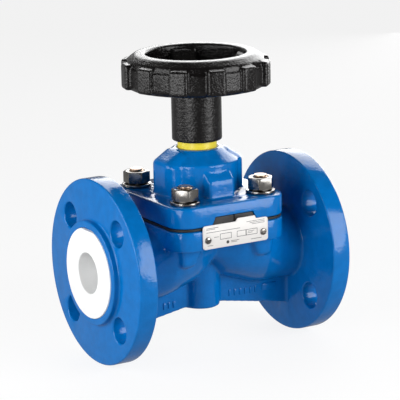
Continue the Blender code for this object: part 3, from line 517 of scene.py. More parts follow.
class Nodes:
    """A node tree with short ways to add nodes and join them.

    A Mix node has sockets for every kind of data, and those for colours are found by their place.
    """

    MIX_COLOURS = (6, 7)
    MIX_RESULT = 2

    def __init__(self, tree: bpy.types.NodeTree) -> None:
        """Hold the tree."""
        self.tree = tree

    def add(self, kind: str, **settings: object) -> bpy.types.Node:
        """Add a node.

        Args:
            kind: Its type, without the ShaderNode prefix.
            settings: Its properties, where a value for a socket is given as in_Name or in_Name_With_Spaces.

        Returns:
            The node.
        """
        node = self.tree.nodes.new("ShaderNode" + kind)
        for name, value in settings.items():
            if name.startswith("in_"):
                node.inputs[name[3:].replace("_", " ")].default_value = value
            else:
                setattr(node, name, value)
        return node

    def link(self, source: bpy.types.NodeSocket, target: bpy.types.NodeSocket) -> None:
        """Join an output to an input."""
        self.tree.links.new(source, target)

    def math(self, operation: str, first: Value, second: Value) -> bpy.types.NodeSocket:
        """Add a Math node.

        Args:
            operation: What it does.
            first: Its first number or the socket that gives it.
            second: Its second number or socket.

        Returns:
            The result's socket.
        """
        node = self.add("Math", operation=operation)
        for socket, value in zip(node.inputs, (first, second)):
            if isinstance(value, bpy.types.NodeSocket):
                self.link(value, socket)
            else:
                socket.default_value = value
        return node.outputs[0]

    def ramp(self, value: bpy.types.NodeSocket, low: float, high: float) -> bpy.types.NodeSocket:
        """Add a smooth step from 0 to 1.

        Args:
            value: The value that it follows.
            low: The value at which it leaves 0.
            high: The value at which it reaches 1.

        Returns:
            The result's socket.
        """
        node = self.add("MapRange", interpolation_type="SMOOTHSTEP")
        node.inputs["From Min"].default_value = low
        node.inputs["From Max"].default_value = high
        self.link(value, node.inputs["Value"])
        return node.outputs["Result"]

    def mix(self, factor: bpy.types.NodeSocket, first: bpy.types.NodeSocket | Colour,
            second: Colour) -> bpy.types.NodeSocket:
        """Mix two colours.

        Args:
            factor: The second one's share.
            first: A colour or the socket that gives it.
            second: The colour mixed in.

        Returns:
            The mixed colour's socket.
        """
        node = self.add("Mix", data_type="RGBA")
        self.link(factor, node.inputs["Factor"])
        for place, value in zip(self.MIX_COLOURS, (first, second)):
            if isinstance(value, bpy.types.NodeSocket):
                self.link(value, node.inputs[place])
            else:
                node.inputs[place].default_value = (*value, 1.0)
        return node.outputs[self.MIX_RESULT]

    def noise(self, place: bpy.types.Node, scale: bpy.types.NodeSocket,
              **settings: object) -> bpy.types.NodeSocket:
        """Add a noise in the object's own coordinates.

        Args:
            place: The Texture Coordinate node.
            scale: The socket that gives its scale.
            settings: Its properties, as for add().

        Returns:
            The noise's socket.
        """
        node = self.add("TexNoise", **settings)
        self.link(place.outputs["Object"], node.inputs["Vector"])
        self.link(scale, node.inputs["Scale"])
        return node.outputs[0]


class EffectGroup(ABC):
    """A surface effect that several finishes share, built once as a node group."""

    name: str
    inputs: dict[str, float]
    outputs: tuple[str, ...]

    def tree(self) -> bpy.types.NodeTree:
        """Find the group, or build it the first time.

        Returns:
            The group's node tree.
        """
        found = bpy.data.node_groups.get(self.name)
        if found:
            return found
        tree = bpy.data.node_groups.new(self.name, "ShaderNodeTree")
        for label, default in self.inputs.items():
            socket = tree.interface.new_socket(name=label, in_out="INPUT", socket_type="NodeSocketFloat")
            socket.default_value = default
        for label in self.outputs:
            tree.interface.new_socket(name=label, in_out="OUTPUT", socket_type="NodeSocketFloat")
        nodes = Nodes(tree)
        entry = tree.nodes.new("NodeGroupInput")
        leave = tree.nodes.new("NodeGroupOutput")
        self.wire(nodes, entry, leave)
        return tree

    def place(self, nodes: Nodes, **values: float) -> bpy.types.Node:
        """Put the group in a material.

        Args:
            nodes: The material's nodes.
            values: Values for the group's inputs, by their labels.

        Returns:
            The group's node.
        """
        node = nodes.tree.nodes.new("ShaderNodeGroup")
        node.node_tree = self.tree()
        for label, value in values.items():
            node.inputs[label].default_value = value
        return node

    @abstractmethod
    def wire(self, nodes: Nodes, entry: bpy.types.Node, leave: bpy.types.Node) -> None:
        """Build the nodes between the group's inputs and outputs.

        Args:
            nodes: The group's nodes.
            entry: The node that gives the group's inputs.
            leave: The node that takes its outputs.
        """


class SurfaceGrain(EffectGroup):
    """Broad unevenness and fine grain of a cast, sprayed or moulded skin."""

    name = "surface_grain"
    inputs = {"Broad Scale": 60.0, "Fine Scale": 600.0, "Fine Share": 0.4}
    outputs = ("Height", "Tone")

    def wire(self, nodes: Nodes, entry: bpy.types.Node, leave: bpy.types.Node) -> None:
        """Build two layers of noise and their sum.

        Args:
            nodes: The group's nodes.
            entry: The node that gives the group's inputs.
            leave: The node that takes its outputs.
        """
        place = nodes.add("TexCoord")
        broad = nodes.noise(place, entry.outputs["Broad Scale"], in_Detail=3.0, in_Roughness=0.55)
        fine = nodes.noise(place, entry.outputs["Fine Scale"], in_Detail=2.0, in_Roughness=0.6)
        share = entry.outputs["Fine Share"]
        rest = nodes.math("SUBTRACT", 1.0, share)
        height = nodes.math("ADD", nodes.math("MULTIPLY", broad, rest), nodes.math("MULTIPLY", fine, share))
        nodes.link(height, leave.inputs["Height"])
        nodes.link(nodes.ramp(broad, 0.3, 0.7), leave.inputs["Tone"])


class EdgeWearAndCornerShade(EffectGroup):
    """Masks of outer edges, where a finish rubs thin, and of inner corners, which take dirt and painted shade."""

    name = "edge_wear_and_corner_shade"
    inputs = {"Start": 0.52, "Full": 0.62, "Break Up": 220.0}
    outputs = ("Edges", "Corner Dirt And Shade")

    def wire(self, nodes: Nodes, entry: bpy.types.Node, leave: bpy.types.Node) -> None:
        """Build the masks from the surface's own curvature, broken up by noise.

        Args:
            nodes: The group's nodes.
            entry: The node that gives the group's inputs.
            leave: The node that takes its outputs.
        """
        noise = nodes.noise(nodes.add("TexCoord"), entry.outputs["Break Up"], in_Detail=3.0)
        point = nodes.add("NewGeometry").outputs["Pointiness"]
        rubbed = nodes.add("MapRange", interpolation_type="SMOOTHSTEP")
        nodes.link(point, rubbed.inputs["Value"])
        nodes.link(entry.outputs["Start"], rubbed.inputs["From Min"])
        nodes.link(entry.outputs["Full"], rubbed.inputs["From Max"])
        patchy = nodes.ramp(noise, 0.35, 0.65)
        nodes.link(nodes.math("MULTIPLY", rubbed.outputs["Result"], patchy), leave.inputs["Edges"])
        # inner corners, where the surface is hollow: a mask for dirt and painted shade
        nodes.link(nodes.math("SUBTRACT", 1.0, nodes.ramp(point, 0.40, 0.49)), leave.inputs["Corner Dirt And Shade"])


class TurningLines(EffectGroup):
    """Fine rings round the Z axis, as a lathe tool or a spinning brush leaves."""

    name = "turning_lines"
    inputs = {"Along Scale": 900.0, "Across Scale": 12.0}
    outputs = ("Height",)

    def wire(self, nodes: Nodes, entry: bpy.types.Node, leave: bpy.types.Node) -> None:
        """Build a noise that is stretched round the axis.

        Args:
            nodes: The group's nodes.
            entry: The node that gives the group's inputs.
            leave: The node that takes its outputs.
        """
        place = nodes.add("TexCoord")
        parts = nodes.add("SeparateXYZ")
        nodes.link(place.outputs["Object"], parts.inputs[0])
        gather = nodes.add("CombineXYZ")
        for axis in range(3):
            scale = entry.outputs["Along Scale" if axis == 2 else "Across Scale"]
            nodes.link(nodes.math("MULTIPLY", parts.outputs[axis], scale), gather.inputs[axis])
        noise = nodes.add("TexNoise", in_Scale=1.0, in_Detail=2.0)
        nodes.link(gather.outputs[0], noise.inputs["Vector"])
        nodes.link(noise.outputs[0], leave.inputs["Height"])


class Dust(EffectGroup):
    """A mask of thin dust on faces that look up."""

    name = "settled_dust"
    inputs = {"Patch Scale": 35.0}
    outputs = ("Mask",)

    def wire(self, nodes: Nodes, entry: bpy.types.Node, leave: bpy.types.Node) -> None:
        """Build the mask from the way the surface faces and noise.

        Args:
            nodes: The group's nodes.
            entry: The node that gives the group's inputs.
            leave: The node that takes its outputs.
        """
        place = nodes.add("TexCoord")
        parts = nodes.add("SeparateXYZ")
        nodes.link(place.outputs["Normal"], parts.inputs[0])
        upward = nodes.ramp(parts.outputs["Z"], 0.5, 1.0)
        patches = nodes.ramp(nodes.noise(place, entry.outputs["Patch Scale"], in_Detail=4.0), 0.4, 0.75)
        nodes.link(nodes.math("MULTIPLY", upward, patches), leave.inputs["Mask"])


@dataclass(frozen=True)
class Finish(ABC):
    """A material: uniform numbers sit on the shader's own sockets, and wire() adds what varies."""

    name: str
    colour: Colour
    roughness: float
    metallic: float = 0.0
    specular: float = 0.5
    bump: float = 0.3
    depth: float = 0.2 * MM

    def material(self) -> bpy.types.Material:
        """Find the material, or build it the first time.

        Returns:
            The material.
        """
        found = bpy.data.materials.get(self.name)
        if found:
            return found
        material = bpy.data.materials.new(self.name)
        material.use_nodes = True
        nodes = Nodes(material.node_tree)
        shader = material.node_tree.nodes["Principled BSDF"]
        for socket, value in (("Base Color", (*self.colour, 1.0)), ("Roughness", self.roughness),
                              ("Metallic", self.metallic), ("Specular IOR Level", self.specular)):
            shader.inputs[socket].default_value = value
        self.wire(nodes, shader)
        return material

    def relief(self, nodes: Nodes, shader: bpy.types.Node, height: bpy.types.NodeSocket) -> None:
        """Feed a height to the shader's normal through a Bump node.

        Args:
            nodes: The material's nodes.
            shader: Its Principled BSDF.
            height: The height's socket.
        """
        bump = nodes.add("Bump", in_Strength=self.bump, in_Distance=self.depth)
        nodes.link(height, bump.inputs["Height"])
        nodes.link(bump.outputs["Normal"], shader.inputs["Normal"])

    def change_gloss(self, nodes: Nodes, shader: bpy.types.Node, tone: bpy.types.NodeSocket, span: Point2) -> None:
        """Let the roughness follow a tone.

        Args:
            nodes: The material's nodes.
            shader: Its Principled BSDF.
            tone: The tone's socket, from 0 to 1.
            span: How far the roughness falls below its own value at 0, and how much it rises to 1.
        """
        below, rise = span
        rough = nodes.math("ADD", nodes.math("MULTIPLY", tone, rise), self.roughness - below)
        nodes.link(rough, shader.inputs["Roughness"])

    def shaded(self, share: float) -> Colour:
        """Return the colour made lighter or darker by a share."""
        return tuple(min(1.0, channel * share) for channel in self.colour)

    @abstractmethod
    def wire(self, nodes: Nodes, shader: bpy.types.Node) -> None:
        """Add the nodes that vary over the surface.

        Args:
            nodes: The material's nodes.
            shader: Its Principled BSDF.
        """


@dataclass(frozen=True)
class CastPaint(Finish):
    """Gloss enamel sprayed over a sand casting."""

    broad_scale: float = 125.0
    fine_scale: float = 420.0
    fine_share: float = 0.30
    gloss_span: Point2 = (0.025, 0.05)

    def wire(self, nodes: Nodes, shader: bpy.types.Node) -> None:
        """Add the casting's grain and a slow change of tone and gloss.

        Args:
            nodes: The material's nodes.
            shader: Its Principled BSDF.
        """
        grain = SurfaceGrain().place(nodes, **{"Broad Scale": self.broad_scale, "Fine Scale": self.fine_scale,
                                               "Fine Share": self.fine_share})
        base = nodes.mix(grain.outputs["Tone"], self.shaded(0.94), self.shaded(1.06))
        nodes.link(base, shader.inputs["Base Color"])
        self.change_gloss(nodes, shader, grain.outputs["Tone"], self.gloss_span)
        self.relief(nodes, shader, grain.outputs["Height"])


@dataclass(frozen=True)
class MouldedSkin(Finish):
    """Plastic or rubber with the grain of its mould."""

    broad_scale: float = 150.0
    fine_scale: float = 620.0
    fine_share: float = 0.55
    rubbed: float = 2.2
    rubbed_share: float = 0.6
    dust: Colour = (0.30, 0.29, 0.27)
    dust_share: float = 0.10

    def wire(self, nodes: Nodes, shader: bpy.types.Node) -> None:
        """Add the grain, paler outer edges and a little dust.

        Args:
            nodes: The material's nodes.
            shader: Its Principled BSDF.
        """
        grain = SurfaceGrain().place(nodes, **{"Broad Scale": self.broad_scale, "Fine Scale": self.fine_scale,
                                               "Fine Share": self.fine_share})
        edges = EdgeWearAndCornerShade().place(nodes, Start=0.52, Full=0.60).outputs["Edges"]
        dust = Dust().place(nodes).outputs["Mask"]
        base = nodes.mix(grain.outputs["Tone"], self.shaded(0.92), self.shaded(1.08))
        base = nodes.mix(nodes.math("MULTIPLY", edges, self.rubbed_share), base, self.shaded(self.rubbed))
        base = nodes.mix(nodes.math("MULTIPLY", dust, self.dust_share), base, self.dust)
        nodes.link(base, shader.inputs["Base Color"])
        self.relief(nodes, shader, grain.outputs["Height"])


@dataclass(frozen=True)
class PlatedSteel(Finish):
    """Zinc plate or bare steel, a little stained, with its inner corners darkened by dirt and painted shade."""

    # the stain colour gives mottled stains, and the dirt and painted shade of inner corners
    stain_and_corner_shade: Colour = (0.28, 0.27, 0.26)
    mottle: float = 160.0
    fine_scale: float = 1400.0
    mottle_share: float = 0.35
    corner_dirt_and_shade_share: float = 0.6
    gloss_span: Point2 = (0.04, 0.14)

    def wire(self, nodes: Nodes, shader: bpy.types.Node) -> None:
        """Add a mottled tone and roughness, and darken inner corners with dirt and painted shade.

        Args:
            nodes: The material's nodes.
            shader: Its Principled BSDF.
        """
        grain = SurfaceGrain().place(nodes, **{"Broad Scale": self.mottle, "Fine Scale": self.fine_scale})
        corners = EdgeWearAndCornerShade().place(nodes).outputs["Corner Dirt And Shade"]
        tone = grain.outputs["Tone"]
        base = nodes.mix(nodes.math("MULTIPLY", tone, self.mottle_share), self.colour, self.stain_and_corner_shade)
        # inner corners darkened toward the stain colour: dirt and painted shade
        base = nodes.mix(nodes.math("MULTIPLY", corners, self.corner_dirt_and_shade_share), base, self.stain_and_corner_shade)
        nodes.link(base, shader.inputs["Base Color"])
        self.change_gloss(nodes, shader, tone, self.gloss_span)
        self.relief(nodes, shader, grain.outputs["Height"])


@dataclass(frozen=True)
class TurnedMetal(Finish):
    """Metal from a lathe."""

    def wire(self, nodes: Nodes, shader: bpy.types.Node) -> None:
        """Add the turning lines and a slight change of tone along them.

        Args:
            nodes: The material's nodes.
            shader: Its Principled BSDF.
        """
        lines = TurningLines().place(nodes).outputs["Height"]
        base = nodes.mix(nodes.ramp(lines, 0.35, 0.65), self.shaded(0.86), self.shaded(1.08))
        nodes.link(base, shader.inputs["Base Color"])
        self.relief(nodes, shader, lines)


@dataclass(frozen=True)
class SmoothPolymer(Finish):
    """PTFE, enamel or gloss plastic with hardly any grain."""

    # the soil colour darkens inner corners, as dirt and painted shade
    corner_soil_and_shade: Colour = (0.45, 0.44, 0.40)
    corner_soil_and_shade_share: float = 0.12
    broad_scale: float = 45.0
    fine_scale: float = 700.0
    fine_share: float = 0.3

    def wire(self, nodes: Nodes, shader: bpy.types.Node) -> None:
        """Add a faint tone, and darken inner corners with dirt and painted shade.

        Args:
            nodes: The material's nodes.
            shader: Its Principled BSDF.
        """
        grain = SurfaceGrain().place(nodes, **{"Broad Scale": self.broad_scale, "Fine Scale": self.fine_scale,
                                               "Fine Share": self.fine_share})
        corners = EdgeWearAndCornerShade().place(nodes).outputs["Corner Dirt And Shade"]
        base = nodes.mix(grain.outputs["Tone"], self.shaded(0.97), self.shaded(1.02))
        # inner corners darkened toward the soil colour: dirt and painted shade
        base = nodes.mix(nodes.math("MULTIPLY", corners, self.corner_soil_and_shade_share), base, self.corner_soil_and_shade)
        nodes.link(base, shader.inputs["Base Color"])
        self.relief(nodes, shader, grain.outputs["Height"])


class Finishes:
    """The finishes of this valve."""

    PAINT = CastPaint("cast_blue_enamel", (0.0, 0.150, 0.480), 0.13, specular=0.32, bump=0.65, depth=0.55 * MM)
    PTFE = SmoothPolymer("lining_ptfe", (0.93, 0.935, 0.935), 0.38, bump=0.08)
    RUBBER = MouldedSkin("diaphragm_rubber", (0.011, 0.010, 0.010), 0.55, bump=0.3)
    WIPER = MouldedSkin("wiper_ring", (0.16, 0.17, 0.10), 0.5, bump=0.1)
    WHEEL = MouldedSkin("wheel_moulding", (0.0045, 0.0038, 0.0038), 0.20, specular=0.32, bump=1.0, depth=0.75 * MM)
    # the stain colours of these two also darken inner corners, as dirt and painted shade
    ZINC = PlatedSteel("zinc_plate", (0.24, 0.23, 0.22), 0.18, metallic=1.0, stain_and_corner_shade=(0.15, 0.14, 0.12), bump=0.08)
    STUD = PlatedSteel("stud_plate", (0.46, 0.33, 0.24), 0.30, metallic=1.0, stain_and_corner_shade=(0.30, 0.20, 0.14), bump=0.15)
    STEEL = TurnedMetal("turned_steel", (0.55, 0.55, 0.56), 0.28, metallic=1.0, bump=0.2, depth=0.05 * MM)
    BRASS = TurnedMetal("turned_brass", (0.70, 0.50, 0.20), 0.30, metallic=1.0, bump=0.2, depth=0.05 * MM)
    IRON = CastPaint("grey_iron", (0.16, 0.16, 0.17), 0.55, metallic=0.6, bump=0.4)
    # the yellow's inner corners are darkened toward brown, as dirt and painted shade
    YELLOW = SmoothPolymer("indicator_yellow", (0.80, 0.66, 0.045), 0.30, corner_soil_and_shade=(0.35, 0.27, 0.03), corner_soil_and_shade_share=0.3,
                           bump=0.1)
    ENAMEL = SmoothPolymer("plate_enamel", (0.74, 0.72, 0.70), 0.32, bump=0.06)
    PRINT = SmoothPolymer("plate_print", (0.06, 0.06, 0.065), 0.5, bump=0.05)
    DOT = SmoothPolymer("plate_dot", (0.02, 0.02, 0.02), 0.5, bump=0.05)


# ---------------------------------------------------------------- pieces


class SubAssembly(ABC):
    """A group of pieces that are modelled and dressed together."""

    @abstractmethod
    def build(self) -> None:
        """Model and dress every piece of the group."""

    def piece(self, name: str, mesh: BMesh, body: Body, finish: Finish, slot: Slot, replaced: Sequence[str] = (),
              crease: float = 32.0, blend: tuple[Vector, Vector] | None = None) -> bpy.types.Object:
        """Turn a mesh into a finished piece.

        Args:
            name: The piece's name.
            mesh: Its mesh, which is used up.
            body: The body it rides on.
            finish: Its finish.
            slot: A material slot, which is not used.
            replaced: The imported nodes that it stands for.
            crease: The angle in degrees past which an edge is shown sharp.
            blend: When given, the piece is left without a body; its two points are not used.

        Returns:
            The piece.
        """
        data = bpy.data.meshes.new(name)
        mesh.normal_update()
        mesh.to_mesh(data)
        mesh.free()
        for face in data.polygons:
            face.use_smooth = True
        data.set_sharp_from_angle(angle=math.radians(crease))
        data.materials.append(finish.material())
        obj = bpy.data.objects.new(name, data)
        bpy.context.scene.collection.objects.link(obj)
        if replaced:
            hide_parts(*replaced)
        if blend:
            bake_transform(obj)
        else:
            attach(obj, body.value)
        triangles = sum(len(face.vertices) - 2 for face in data.polygons)
        log.info("%s: %d triangles, on %s, %s", name, triangles, body.value, finish.name)
        return obj


@dataclass(frozen=True)
class JointSizes:
    """The bolted joint that body, diaphragm and bonnet share."""

    half_x: float = 52 * MM
    half_y: float = 56 * MM
    corner: float = 17 * MM
    body_bottom: float = 19 * MM
    body_top: float = 35 * MM
    bonnet_bottom: float = 37.5 * MM
    bonnet_top: float = 54.5 * MM
    stud_x: float = 35 * MM
    stud_y: float = 39 * MM
    stud_radius: float = 6 * MM
    stud_clearance: float = 0.75 * MM

    def plate(self, low: float, high: float, edge: float, inset: float = 0.0) -> BMesh:
        """Return a plate with the joint's outline."""
        outline = rounded_outline(self.half_x - inset, self.half_y - inset, self.corner - inset)
        return prism(outline, low, high, edge=edge)

    def places(self) -> list[Point2]:
        """Return where the studs stand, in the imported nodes' order."""
        return [(-self.stud_x, -self.stud_y), (self.stud_x, -self.stud_y),
                (self.stud_x, self.stud_y), (-self.stud_x, self.stud_y)]

    def holes(self, radius: float, low: float, high: float) -> list[BMesh]:
        """Return cutters for the studs."""
        return [drum(radius, low, high, centre=(x, y, 0), steps=32) for x, y in self.places()]


@dataclass(frozen=True)
class ScrewSizes:
    """The two drive screws that hold the nameplate to the body."""

    x: float = 25.5 * MM
    z: float = 27.3 * MM
    hole_radius: float = 1.55 * MM
    hole_depth: float = 6 * MM

    def hole(self, side: int, front: float, back: float) -> BMesh:
        """Return the cutter for the screw on one side, between two depths."""
        return drum(self.hole_radius, front, back, Axis.Y, (side * self.x, 0, self.z), steps=24)


JOINT = JointSizes()
SCREWS = ScrewSizes()


@dataclass
class WaterWay:
    """The hollow through the valve, from which the casting's core and the lining are both drawn."""

    bore: float = 20 * MM
    weir: float = 4 * MM
    half_width: float = 29 * MM
    roof: float = 28 * MM
    seat_half_x: float = 40 * MM
    seat_half_y: float = 36 * MM
    floor_over_seat: float = 1 * MM
    middle: float = 12 * MM
    chamber_end: float = 62 * MM
    end: float = 108 * MM
    throat: list[Point2] = field(default_factory=lambda: [
        (x * MM, share) for x, share in ((38, 0.0), (50, 0.5), (62, 1.0))])
    bottom: list[Point2] = field(default_factory=lambda: [
        (x * MM, share) for x, share in
        ((0, 1.0), (5, 0.92), (12, 0.58), (20, 0.33), (30, 0.17), (40, 0.06), (50, 0.0))])

    def section(self, x: float, inset: float) -> Section:
        """Draw the hollow's oval section.

        Args:
            x: Where it is.
            inset: How much smaller it is than the casting's hollow.

        Returns:
            Half its width, and its lowest, middle and highest z.
        """
        radius, chamber, roof = (size - inset for size in (self.bore, self.half_width, self.roof))
        end = smooth_through(self.throat, abs(x))
        rise = smooth_through(self.bottom, abs(x))
        lowest = -radius + (self.weir + self.floor_over_seat + inset + radius) * rise
        middle = self.middle * (1 + rise) * (1 - end)
        return chamber + (radius - chamber) * end, lowest, middle, roof + (radius - roof) * end

    def mesh(self, inset: float, sides: int, step: float) -> BMesh:
        """Return the hollow as a closed mesh, with the seat's bowl.

        Args:
            inset: How much smaller it is than the casting's hollow.
            sides: Points in a section.
            step: The distance between sections in its chambers.

        Returns:
            The closed mesh.
        """
        count = round(self.chamber_end / step)
        inner = [self.chamber_end * i / count for i in range(count + 1)]
        stations = [-self.end] + [-x for x in inner[:0:-1]] + inner + [self.end]
        way = lofted(stations, lambda x: self.section(x, inset), sides)
        halves = [half - inset for half in (self.seat_half_x, self.seat_half_y, JOINT.body_top - self.weir)]
        return combined(way, [ellipsoid((0, 0, JOINT.body_top), halves, rings=sides // 2)], Operation.UNION)


@dataclass
class FlangeSizes:
    """The two pipe flanges."""

    radius: float = 75 * MM
    back: float = 81 * MM
    front: float = 97 * MM
    raised: float = 102 * MM
    raised_radius: float = 42 * MM
    hole_radius: float = 10.5 * MM
    hole_circle: float = 55 * MM
    holes: int = 4
    edge: float = 1.3 * MM
    raised_edge: float = 1 * MM
    raised_fillet: float = 1.6 * MM
    mouth: float = 1.4 * MM

    def disc(self, side: int) -> BMesh:
        """Turn one flange with its raised face.

        Args:
            side: -1 or +1.

        Returns:
            The closed mesh.
        """
        path = fillet_path([(0, self.raised, 0), (self.raised_radius, self.raised, self.raised_edge),
                            (self.raised_radius, self.front, self.raised_fillet),
                            (self.radius, self.front, self.edge), (self.radius, self.back, self.edge),
                            (0, self.back, 0)], segments=4)
        return to_side(turned(path, 144, Axis.X), side)

    def hole_cutters(self, side: int) -> list[BMesh]:
        """Make the cutters of one flange's bolt holes, whose mouths flare.

        Args:
            side: -1 or +1.

        Returns:
            The cutters.
        """
        radius, flare = self.hole_radius, self.hole_radius + self.mouth
        path = fillet_path([(0, self.back - PAST, 0), (flare, self.back - PAST, 0), (flare, self.back, 0),
                            (radius, self.back, self.mouth), (radius, self.front, self.mouth),
                            (flare, self.front, 0), (flare, self.front + PAST, 0),
                            (0, self.front + PAST, 0)], segments=4)
        cutters = []
        for i in range(self.holes):
            cutter = to_side(turned(path, 40, Axis.X), side)
            angle = FULL_TURN * (i + 0.5) / self.holes
            place = Vector((0, math.cos(angle), math.sin(angle))) * self.hole_circle
            cutter.transform(Matrix.Translation(place))
            cutters.append(cutter)
        return cutters


@dataclass
class BodyCasting(SubAssembly):
    """The lined body: its casting, with flanges, bowls, webs, bosses and foot, and the PTFE lining."""

    flange: FlangeSizes = field(default_factory=FlangeSizes)
    way: WaterWay = field(default_factory=WaterWay)
    neck_radius: float = 30 * MM
    neck_middle: float = 16 * MM
    bowl_half_width: float = 42 * MM
    saddle_half_width: float = 30 * MM
    web_half: float = 5 * MM
    foot_radius: float = 15.7 * MM
    foot_depth: float = 42.5 * MM
    foot_edge: float = 0.8 * MM
    pad_set_in: float = 0.35 * MM
    pad_thickness: float = 6 * MM
    pad_radius: float = 64 * MM
    joint_edge: float = 1.2 * MM
    stud_hole_bottom: float = 12.7 * MM
    lining_gap: float = 0.3 * MM
    lining_depth: float = 3.5 * MM
    disc_radius: float = 36.5 * MM
    disc_face: float = 103 * MM
    disc_back: float = 99.8 * MM
    disc_edge: float = 0.8 * MM
    mouth_start: float = 90 * MM
    mouth_slack: float = 0.2 * MM
    mouth_flare: float = 0.6 * MM
    lip: tuple[float, float, float] = (46 * MM, 42 * MM, 32 * MM)
    boss_reach: tuple[float, float, float, float] = (21 * MM, 43.5 * MM, 33 * MM, 46.5 * MM)
    boss_lean: tuple[float, float, float] = (8 * MM, 1 * MM, 1.5 * MM)
    boss_round: float = 4 * MM
    boss_bottom: float = 3 * MM
    mark_places: tuple[float, ...] = (-38 * MM, -33.5 * MM, -29 * MM, 24 * MM, 29 * MM, 34 * MM, 39 * MM, 44 * MM,
                                      49 * MM)
    mark_levels: Point2 = (-38.5 * MM, -37.5 * MM)
    mark_fall: float = 0.035
    mark_width: float = 2.2 * MM
    mark_height: float = 5.5 * MM
    mark_proud: float = 0.8 * MM
    mark_root: float = 1.5 * MM
    long_mark: Point2 = (56 * MM, 70 * MM)
    grain: float = 1.15 * MM
    step: float = 4 * MM
    lining_step: float = 3 * MM
    neck: list[Point2] = field(default_factory=lambda: [
        (x * MM, share) for x, share in ((44, 0.0), (54, 0.45), (66, 1.0))])
    bowl_bottom: list[Point2] = field(default_factory=lambda: [
        (x * MM, z * MM) for x, z in
        ((0, -6), (6, -12), (12, -17), (20, -20.5), (30, -24), (40, -27.5), (50, -29.5), (60, -30))])
    bowl_width: list[Point2] = field(default_factory=lambda: [
        (x * MM, share) for x, share in ((0, 0.0), (10, 0.36), (20, 0.76), (36, 1.0))])
    web: list[Point2] = field(default_factory=lambda: [
        (x * MM, z * MM) for x, z in ((8, -12), (8, -40), (83, -53), (85, -53.3), (85, -12))])

    def build(self) -> None:
        """Model the casting and its lining."""
        self.piece("body_casting", self.casting(), Body.VALVE, Finishes.PAINT, Slot.PAINT, ["body"])
        self.piece("lining", self.lining(), Body.VALVE, Finishes.PTFE, Slot.PTFE, ["body_lining"], crease=40)

    def bowl_section(self, x: float) -> Section:
        """Draw the casting's outer section: round necks, and two bowls with a saddle between.

        Args:
            x: Where it is.

        Returns:
            Half its width, and its lowest, middle and highest z.
        """
        neck = smooth_through(self.neck, abs(x))
        widening = smooth_through(self.bowl_width, abs(x))
        bowl = self.saddle_half_width + (self.bowl_half_width - self.saddle_half_width) * widening
        top = JOINT.body_top - 2 * MM
        return (bowl + (self.neck_radius - bowl) * neck, smooth_through(self.bowl_bottom, abs(x)),
                self.neck_middle * (1 - neck), top + (self.neck_radius - top) * neck)

    def boss(self, x: float, y: float) -> BMesh:
        """Make the pad under one stud, upright on its outer side and sloping away on its inner one.

        Args:
            x: Where the stud stands, whose sign gives the pad's side.
            y: Where the stud stands, from front to back.

        Returns:
            The closed mesh.
        """
        inner, outer, back, front = self.boss_reach
        lean_in, lean_out, lean_front = self.boss_lean
        boss = block((inner, back, self.boss_bottom), (outer, front, JOINT.body_bottom + 2 * MM))
        for vert in [vert for vert in boss.verts if vert.co.z < self.boss_bottom + WELD]:
            vert.co.x += lean_in if vert.co.x < outer - WELD else -lean_out
            vert.co.y -= lean_front if vert.co.y > front - WELD else 0
        bmesh.ops.bevel(boss, geom=list(boss.edges), offset=self.boss_round, segments=4, profile=0.5,
                        affect="EDGES", material=-1)
        boss.transform(Matrix.Diagonal((math.copysign(1, x), math.copysign(1, y), 1, 1)))
        return outward(boss)

    def web_marks(self) -> list[BMesh]:
        """Make plain raised bars on the webs' front, where a foundry casts its marks.

        Returns:
            The bars.
        """
        left, right = self.mark_levels
        bars = [(x, x + self.mark_width, (right if x > 0 else left) - self.mark_fall * abs(x))
                for x in self.mark_places]
        bars.append((*self.long_mark, left))
        face = -self.web_half
        return [block((x0, face - self.mark_proud, low), (x1, face + self.mark_root, low + self.mark_height),
                      edge=0.4 * MM, segments=2) for x0, x1, low in bars]

    def skin(self) -> BMesh:
        """Melt bowls, necks, pads, foot and webs into one soft skin.

        Returns:
            The closed mesh.
        """
        reach = self.flange.back
        half = [self.step * i for i in range(int(reach / self.step) + 1)] + [reach + self.step]
        parts = [lofted([-x for x in half[:0:-1]] + half, self.bowl_section, 72),
                 JOINT.plate(JOINT.body_bottom + 0.25 * MM, JOINT.body_top - 1 * MM, 0, inset=0.5 * MM),
                 drum(self.foot_radius, -self.foot_depth, 0, steps=72, edge=self.foot_edge)]
        parts += [self.boss(x, y) for x, y in JOINT.places()]
        start = reach + self.pad_set_in
        for side in (-1, 1):
            parts.append(prism([(side * x, z) for x, z in self.web], -self.web_half, self.web_half, Axis.Y))
            near, far = sorted((side * start, side * (start + self.pad_thickness)))
            parts.append(drum(self.pad_radius, near, far, Axis.X, steps=96))
        return cast(parts, self.grain, passes=7)

    def hollows(self) -> list[BMesh]:
        """Make the cutters of the water way, the lining's seats and every hole.

        Returns:
            The cutters.
        """
        gap = self.lining_gap
        lip_x, lip_y, lip_low = self.lip
        cutters = [self.way.mesh(0.0, 48, self.step),
                   prism(oval_outline(lip_x + gap, lip_y + gap), lip_low - gap, JOINT.body_top + PAST)]
        for side in (-1, 1):
            near, far = sorted((side * (self.disc_back - gap), side * (self.disc_face + PAST)))
            cutters.append(drum(self.disc_radius + gap, near, far, Axis.X, steps=120))
            cutters += self.flange.hole_cutters(side)
            cutters.append(SCREWS.hole(side, -JOINT.half_y - PAST, -JOINT.half_y + SCREWS.hole_depth))
        return cutters + JOINT.holes(JOINT.stud_radius + gap, self.stud_hole_bottom, JOINT.body_top + PAST)

    def casting(self) -> BMesh:
        """Add the machined flanges to the soft skin and cut the hollows.

        Returns:
            The closed mesh.
        """
        machined = [self.flange.disc(-1), self.flange.disc(1),
                    JOINT.plate(JOINT.body_bottom, JOINT.body_top, edge=self.joint_edge)]
        body = combined(self.skin(), machined + self.web_marks(), Operation.UNION)
        return combined(body, self.hollows(), Operation.CUT)

